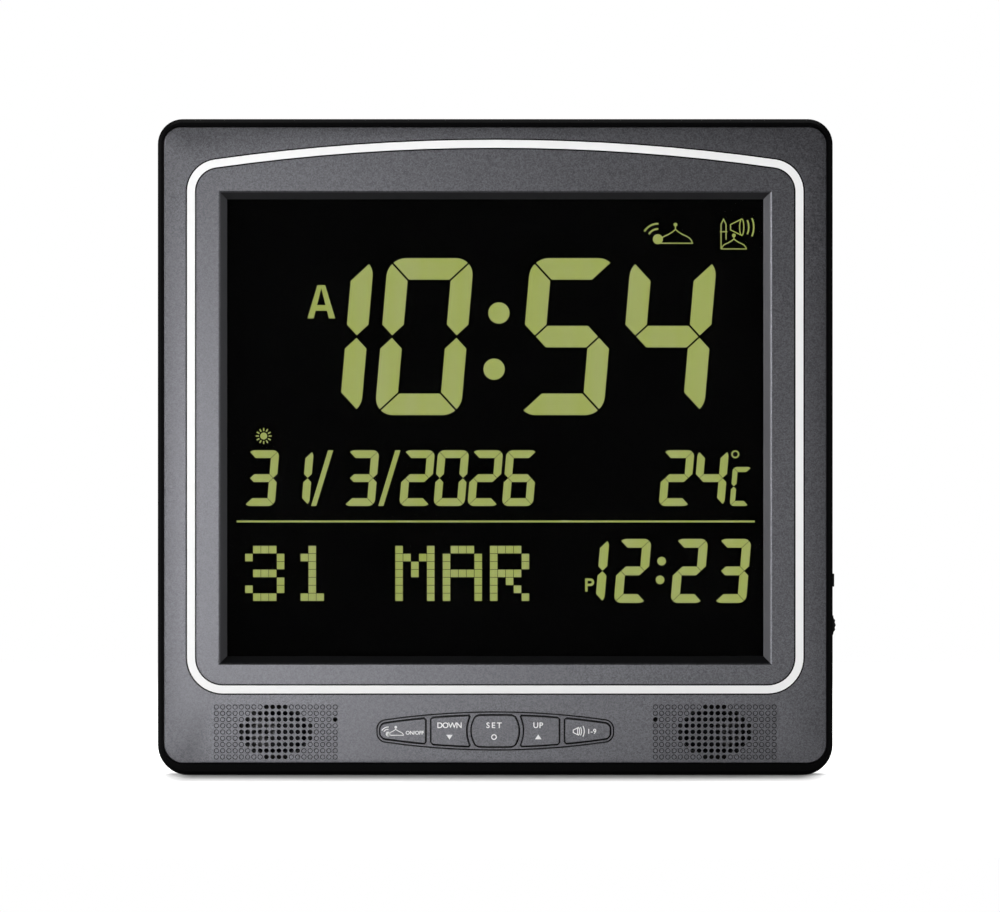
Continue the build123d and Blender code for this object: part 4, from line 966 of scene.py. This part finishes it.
def segment_outlines(width, height, stroke, gap):
    """Outlines of segments a to g about the digit's middle, upright."""
    corner = stroke * CORNER_SHARE
    slip = gap / 2 * 2**0.5
    cut = asin(gap / 2 / corner)
    half, top, tip = width / 2, height / 2, stroke / 2

    def mirrored(outline, across, up):
        return [(x * across, z * up) for x, z in outline]

    def bend(start, end):
        turns = [start + (end - start) * step / BEND_STEPS for step in range(BEND_STEPS + 1)]
        middle_x, middle_z = corner - half, top - corner
        return [(middle_x + corner * cos(t), middle_z + corner * sin(t)) for t in turns]

    left_part = [(-half + stroke + slip, top - stroke), *bend(pi * 0.75 - cut, pi / 2)]
    upper = left_part + mirrored(left_part, -1, 1)[::-1]
    side = [
        (-half + tip, slip),
        (-half, tip + slip),
        *bend(pi, pi * 0.75 + cut),
        (-half + stroke, top - stroke - slip),
        (-half + stroke, tip + slip),
    ]
    inner = -half + stroke + slip
    left_end = [(inner, -tip), (-half + tip + slip, 0), (inner, tip)]
    middle = left_end + mirrored(left_end, -1, 1)[::-1]
    return {
        "a": upper,
        "b": mirrored(side, -1, 1),
        "c": mirrored(side, -1, -1),
        "d": mirrored(upper, 1, -1),
        "e": mirrored(side, 1, -1),
        "f": side,
        "g": middle,
    }


def digits(places, z, size):
    """Outlines of the lit segments of a row of digits, as (sign, middle in millimetres)."""
    outlines = segment_outlines(**size)
    lit = []
    for sign, x in places:
        for name in SEGMENTS[sign]:
            lit.append([(x * MM + px + pz * LEAN, z + pz) for px, pz in outlines[name]])
    return lit


def colon(x, z, reach, radius, sides=28):
    """Two dots that lean as the digits do."""
    return [circle(x + up * reach * LEAN, z + up * reach, radius, sides) for up in (-1, 1)]


print("signs of seven segments:", *SEGMENTS)

# %% [markdown]
# ## The finish of a lit segment
#
# The light comes from lamps at the edge of a light guide, so it isn't quite even: faint upright
# bands run down it.  A stretched noise drives the colour between two near greens.

# %% Lit segments
LIT_DEEP = (0.278, 0.33, 0.056, 1.0)
LIT_PALE = (0.286, 0.33, 0.08, 1.0)
BANDS_TO_A_METRE = (160.0, 1.0, 8.0)
PLATE_THICKNESS = 0.06 * MM


def lit_finish():
    """Yellow-green light with faint upright bands."""
    finish = Finish("lit_segments")
    stretch = {"Vector": finish.place(), "Scale": BANDS_TO_A_METRE}
    place = finish.node("ShaderNodeMapping", {}, stretch)
    bands = finish.node("ShaderNodeTexNoise", {}, {"Vector": place, "Scale": 1.0, "Detail": 1.0})
    sockets = {
        "Base Color": finish.blend(bands, grey(0.01), grey(0.02)),
        "Roughness": 0.6,
        "Emission Color": finish.blend((bands * 2.4 - 0.7).limit(), LIT_DEEP, LIT_PALE),
        "Emission Strength": 1.0,
    }
    return finish.surface(sockets)


lit_segments = lit_finish()
cell_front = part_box("lcd_front_glass")[0].y
lens_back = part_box("display_lens")[1].y
print("room in front of the cell in mm:", round((cell_front - lens_back) / MM, 2))


def show(name, outlines):
    """Lit plates of those outlines on the face of the display cell."""
    shape = plates(outlines, cell_front - PLATE_THICKNESS, PLATE_THICKNESS)
    add_piece(name, to_mesh(name, shape), "case", lit_segments)


# %% The time
BIG = dict(width=34.45 * MM, height=62.8 * MM, stroke=8.6 * MM, gap=0.75 * MM)
BIG_Z = 175.4 * MM
BIG_PLACES = (("1", -68.4), ("0", -28.4), ("5", 28.7), ("4", 68.9))
BIG_COLON = dict(x=0.5 * MM, z=173.6 * MM, reach=11.25 * MM, radius=4.25 * MM, sides=40)

show("shown_time", digits(BIG_PLACES, BIG_Z, BIG) + colon(**BIG_COLON))

# %% The date and the temperature
SMALL = dict(width=12.43 * MM, height=22.3 * MM, stroke=3.1 * MM, gap=0.16 * MM)
DATE_Z = 118.75 * MM
DAY_AND_MONTH = (("3", -93.6), ("1", -79.8), ("3", -53.6))
YEAR = (("2", -31.3), ("0", -17.6), ("2", -4.0), ("6", 9.8))
TEMPERATURE = (("2", 72.6), ("4", 86.4))
SLASH_PLACES = (-69.3, -42.4)
SLASH_LEAN = 3.4 * MM
SLASH_HALF_WIDTH = 1.03 * MM
DEGREE = dict(x=96.1 * MM, z=128.3 * MM, outer=1.6 * MM, inner=1.0 * MM)
CELSIUS = dict(width=7.6 * MM, height=15.6 * MM, stroke=2.0 * MM, gap=0.14 * MM)
CELSIUS_PLACE = (("C", 98.3),)

date_shapes = digits(DAY_AND_MONTH + YEAR + TEMPERATURE, DATE_Z, SMALL)
date_low = DATE_Z - SMALL["height"] / 2
date_top = DATE_Z + SMALL["height"] / 2
for x in SLASH_PLACES:
    low, top = x * MM - SLASH_LEAN, x * MM + SLASH_LEAN
    slash = [(low - SLASH_HALF_WIDTH, date_low), (low + SLASH_HALF_WIDTH, date_low)]
    slash += [(top + SLASH_HALF_WIDTH, date_top), (top - SLASH_HALF_WIDTH, date_top)]
    date_shapes.append(slash)
date_shapes += ring(**DEGREE)
date_shapes += digits(CELSIUS_PLACE, date_low + CELSIUS["height"] / 2, CELSIUS)
show("shown_date", date_shapes)

# %% The second time and the line above it
MIDDLE = dict(width=12.9 * MM, height=25.6 * MM, stroke=3.5 * MM, gap=0.18 * MM)
MIDDLE_Z = 81.6 * MM
MIDDLE_PLACES = (("1", 38.2), ("2", 55.0), ("2", 77.7), ("3", 95.0))
MIDDLE_COLON = dict(x=66.3 * MM, z=81.75 * MM, reach=3.75 * MM, radius=1.72 * MM)
LINE_START = (-103.5 * MM, 101.4 * MM)
LINE_END = (103.9 * MM, 101.4 * MM)
LINE_WIDTH = 0.75 * MM

second_shapes = digits(MIDDLE_PLACES, MIDDLE_Z, MIDDLE) + colon(**MIDDLE_COLON)
show("shown_second_time", second_shapes + [bar(LINE_START, LINE_END, LINE_WIDTH)])

# %% [markdown]
# ## Day and month in small squares
#
# The lower row is a matrix of squares.  Each letter is written down as seven rows of signs, which
# is how such a display is planned too, and every filled place becomes one square plate.

# %% The matrix
SQUARE_PITCH = 3.172 * MM
SQUARE_SIZE = 2.98 * MM
MATRIX_TOP = 91.7 * MM
MATRIX_SIGNS = {
    "3": ".###. #...# ....# .###. ....# #...# .###.",
    "1": "..#.. .##.. ..#.. ..#.. ..#.. ..#.. .###.",
    "M": "#...# ##.## #.#.# #.#.# #...# #...# #...#",
    "A": ".###. #...# #...# ##### #...# #...# #...#",
    "R": "####. #...# #...# ####. #.#.. #..#. #...#",
}
MATRIX_PLACES = (("3", -100.2), ("1", -81.2), ("M", -40.1), ("A", -21.1), ("R", -2.2))

squares = []
for sign, x in MATRIX_PLACES:
    for row, line in enumerate(MATRIX_SIGNS[sign].split()):
        z = MATRIX_TOP - (row + 0.5) * SQUARE_PITCH
        for column, mark in enumerate(line):
            if mark == "#":
                middle = x * MM + (column + 0.5) * SQUARE_PITCH
                ends = (middle - SQUARE_SIZE / 2, z), (middle + SQUARE_SIZE / 2, z)
                squares.append(bar(*ends, SQUARE_SIZE))
show("shown_day_and_month", squares)

# %% Morning, afternoon and the small signs
MORNING = dict(x=-75.2 * MM, z=182.7 * MM, width=11.1 * MM, height=13.3 * MM, stroke=2.5 * MM)
AFTERNOON = dict(x=36.0 * MM, z=73.3 * MM, width=3.6 * MM, height=5.3 * MM, stroke=0.95 * MM)
SUN_X, SUN_Z = -92.7 * MM, 135.6 * MM
SUN_DISC = 1.4 * MM
SUN_RAYS = 12
SUN_RAY_ENDS = (2.0 * MM, 3.2 * MM)
SUN_RAY_WIDTH = 0.5 * MM


def letter_a(x, z, width, height, stroke):
    """Capital A from its lower left corner."""
    peak, cap, inset = width / 2, stroke * 0.62, width * 0.24
    left = [(x, z), (x + stroke, z)]
    left += [(x + peak + cap * 0.2, z + height), (x + peak - cap, z + height)]
    right = [(2 * x + width - px, pz) for px, pz in left][::-1]
    rung_low, rung_high = z + height * 0.23, z + height * 0.23 + stroke * 0.9
    rung = [(x + inset, rung_low), (x + width - inset, rung_low)]
    rung += [(x + width - inset, rung_high), (x + inset, rung_high)]
    return [left, right, rung]


def letter_p(x, z, width, height, stroke):
    """Capital P from its lower left corner."""
    bowl = height * 0.29
    stem = [(x, z), (x + stroke, z), (x + stroke, z + height), (x, z + height)]
    middle = z + height - bowl
    path = [(x + stroke / 2, z + height - stroke / 2)]
    path += arc(x + width - bowl, middle, bowl - stroke / 2, 90, -90)
    path += [(x + stroke / 2, middle - bowl + stroke / 2)]
    return [stem, ribbon(path, stroke)]


small_shapes = letter_a(**MORNING) + letter_p(**AFTERNOON)
small_shapes.append(circle(SUN_X, SUN_Z, SUN_DISC))
for ray in range(SUN_RAYS):
    turn = 2 * pi * ray / SUN_RAYS
    ends = [(SUN_X + reach * cos(turn), SUN_Z + reach * sin(turn)) for reach in SUN_RAY_ENDS]
    small_shapes.append(bar(*ends, SUN_RAY_WIDTH))
show("shown_small_signs", small_shapes)

# %% [markdown]
# ## Signs for the call and for the sound
#
# Two signs at the top right say that the call is set and which sound it has.  Both are plain line
# drawings: a domed roof with a ringing dot, and a loudspeaker over a small roof and a tower.

# %% Strokes of the signs
DOME = ((0, 0), (0.05, 0.19), (0.18, 0.39), (0.365, 0.52), (0.57, 0.63), (0.81, 0.81), (1, 1))


def roof(x, z, width, height, line):
    """Strokes of a domed roof with a small ball on top, from its lower left corner."""
    middle = x + width / 2
    curve = [(x + width / 2 * across, z + height * up) for across, up in DOME]
    other = [(2 * middle - px, pz) for px, pz in curve]
    base = bar((x - line / 2, z), (x + width + line / 2, z), line)
    stick = bar((middle, z + height), (middle, z + height * 1.3), line)
    ball = circle(middle, z + height * 1.35, line * 1.8, 12)
    return [ribbon(curve, line), ribbon(other, line), base, stick, ball]


def sound_waves(x, z, radii, first, last, line):
    """Strokes round a point, between two angles in degrees."""
    return [ribbon(arc(x, z, radius, first, last), line) for radius in radii]


def loudspeaker(x, z, size, line):
    """Strokes of a loudspeaker that faces right, about the middle of its left edge."""
    neck, mouth, mouth_x = size * 0.16, size * 0.5, x + size * 0.68
    horn = [(mouth_x, z + mouth), (x, z + neck), (x, z - neck), (mouth_x, z - mouth)]
    brim = [(mouth_x + size * 0.13 * px, z + mouth * pz) for px, pz in arc(0, 0, 1, 0, 360, 16)]
    return [ribbon(horn, line), ribbon(brim, line)]


print("sign helpers ready")

# %% The call and the sound
SIGN_LINE = 0.42 * MM
CALL_DOT = (65.1 * MM, 214.4 * MM)
CALL_DOT_RADIUS = 2.0 * MM
CALL_WAVES = (4.1 * MM, 6.2 * MM)
HORN_Z = 219.2 * MM
HORN_WAVES = (6.9 * MM, 8.9 * MM)
TOWER = ((90.4, 210.5), (90.4, 220.4), (91.4, 222.4), (92.4, 220.4), (92.4, 214.2))
TOWER_SILL = ((89.9 * MM, 217.4 * MM), (92.9 * MM, 217.4 * MM))

sign_shapes = roof(65.4 * MM, 212.8 * MM, 13.5 * MM, 5.5 * MM, SIGN_LINE)
sign_shapes.append(circle(*CALL_DOT, CALL_DOT_RADIUS))
sign_shapes += sound_waves(*CALL_DOT, CALL_WAVES, 150, 88, 0.7 * MM)
sign_shapes += loudspeaker(94.2 * MM, HORN_Z, 6.6 * MM, SIGN_LINE)
sign_shapes += sound_waves(94.6 * MM, HORN_Z, HORN_WAVES, 24, -24, 0.6 * MM)
sign_shapes += roof(90.6 * MM, 210.5 * MM, 9.9 * MM, 4.0 * MM, SIGN_LINE)
sign_shapes.append(ribbon([(x * MM, z * MM) for x, z in TOWER], SIGN_LINE))
sign_shapes.append(bar(*TOWER_SILL, SIGN_LINE))
show("shown_call_signs", sign_shapes)

# %% [markdown]
# ## Legends on the keys
#
# The legends are pad-printed in white: plain words for what a key does, each with a small sign.
# A word is made with Blender's own letter shapes, turned into a mesh and laid on the key as a
# layer as thin as ink.  It rides on its own key, so it moves when the key is pressed.

# %% Ink and lettering
INK_THICKNESS = 0.03 * MM
INK_SPREAD = 0.05 * MM
CAPITAL_SHARE = 0.729


def ink_finish():
    """White printing ink, slightly uneven in gloss and cover."""
    finish = Finish("white_ink")
    cover = finish.noise(900.0)
    sockets = {
        "Base Color": finish.blend(cover, grey(0.78), grey(0.92)),
        "Roughness": 0.45 + cover * 0.15,
        "Normal": finish.relief(cover, 0.006 * MM, 0.4),
    }
    return finish.surface(sockets)


ink_white = ink_finish()


def word_mesh(word, height, x, z, near, spacing):
    """Mesh of a word of that letter height, centred on (x, z) at the near depth."""
    text = bpy.data.curves.new("word", "FONT")
    text.body = word
    text.size = height / CAPITAL_SHARE
    text.extrude = INK_THICKNESS / 2
    text.offset = INK_SPREAD
    text.space_character = spacing
    text.resolution_u = 4
    mesh = worked_out(add_object("word", text))
    low = Vector([min(v.co[axis] for v in mesh.vertices) for axis in range(3)])
    high = Vector([max(v.co[axis] for v in mesh.vertices) for axis in range(3)])
    middle = (low + high) / 2
    stand = Matrix.Rotation(pi / 2, 4, "X") @ Matrix.Translation(-middle)
    mesh.transform(Matrix.Translation((x, near + INK_THICKNESS / 2, z)) @ stand)
    return mesh


def legend(key, word, height, x, z, spacing, signs):
    """Prints a word, with its middle at (x, z), and the outlines of signs on one key."""
    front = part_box(key)[0].y - INK_THICKNESS
    shape = plates(signs, front, INK_THICKNESS)
    letters = word_mesh(word, height, x, z, front, spacing)
    shape.from_mesh(letters)
    bpy.data.meshes.remove(letters)
    name = "legend_" + key
    add_piece(name, to_mesh(name, shape), key, ink_white)


# %% Print the middle keys
WORD_HEIGHT = 2.3 * MM
WORD_Z = 19.9 * MM
SIGN_Z = 15.2 * MM
TRIANGLE = 1.3 * MM
DOWN_X, SET_X, UP_X = -18.3 * MM, -0.5 * MM, 17.2 * MM
RING_RADII = (1.15 * MM, 0.72 * MM)


def triangle(x, up):
    """Small arrowhead that points up or down."""
    base, peak = SIGN_Z - up * TRIANGLE * 0.7, SIGN_Z + up * TRIANGLE * 0.8
    return [(x - TRIANGLE, base), (x + TRIANGLE, base), (x, peak)]


legend("key_down", "DOWN", WORD_HEIGHT, DOWN_X, WORD_Z, 0.87, [triangle(DOWN_X, -1)])
legend("key_set", "SET", WORD_HEIGHT, SET_X, WORD_Z, 1.4, ring(SET_X, SIGN_Z, *RING_RADII))
legend("key_up", "UP", WORD_HEIGHT, UP_X, WORD_Z, 1.12, [triangle(UP_X, 1)])

# %% Print the outer keys
BELL = (-42.9 * MM, 16.4 * MM)
TUNE_Z = 17.5 * MM
THIN_LINE = 0.35 * MM

azan_signs = roof(-42.9 * MM, 15.9 * MM, 6.2 * MM, 2.4 * MM, 0.3 * MM)
azan_signs.append(circle(*BELL, 0.95 * MM, 18))
azan_signs += sound_waves(*BELL, (1.9 * MM, 2.8 * MM), 150, 85, THIN_LINE)
legend("key_azan", "ON/OFF", 1.5 * MM, -32.2 * MM, 16.9 * MM, 0.96, azan_signs)
tune_signs = loudspeaker(31.2 * MM, TUNE_Z, 3.1 * MM, THIN_LINE)
tune_signs += sound_waves(31.0 * MM, TUNE_Z, (3.5 * MM, 4.6 * MM), 28, -28, THIN_LINE)
legend("key_tune", "1-9", 2.0 * MM, 38.8 * MM, TUNE_Z, 1.05, tune_signs)
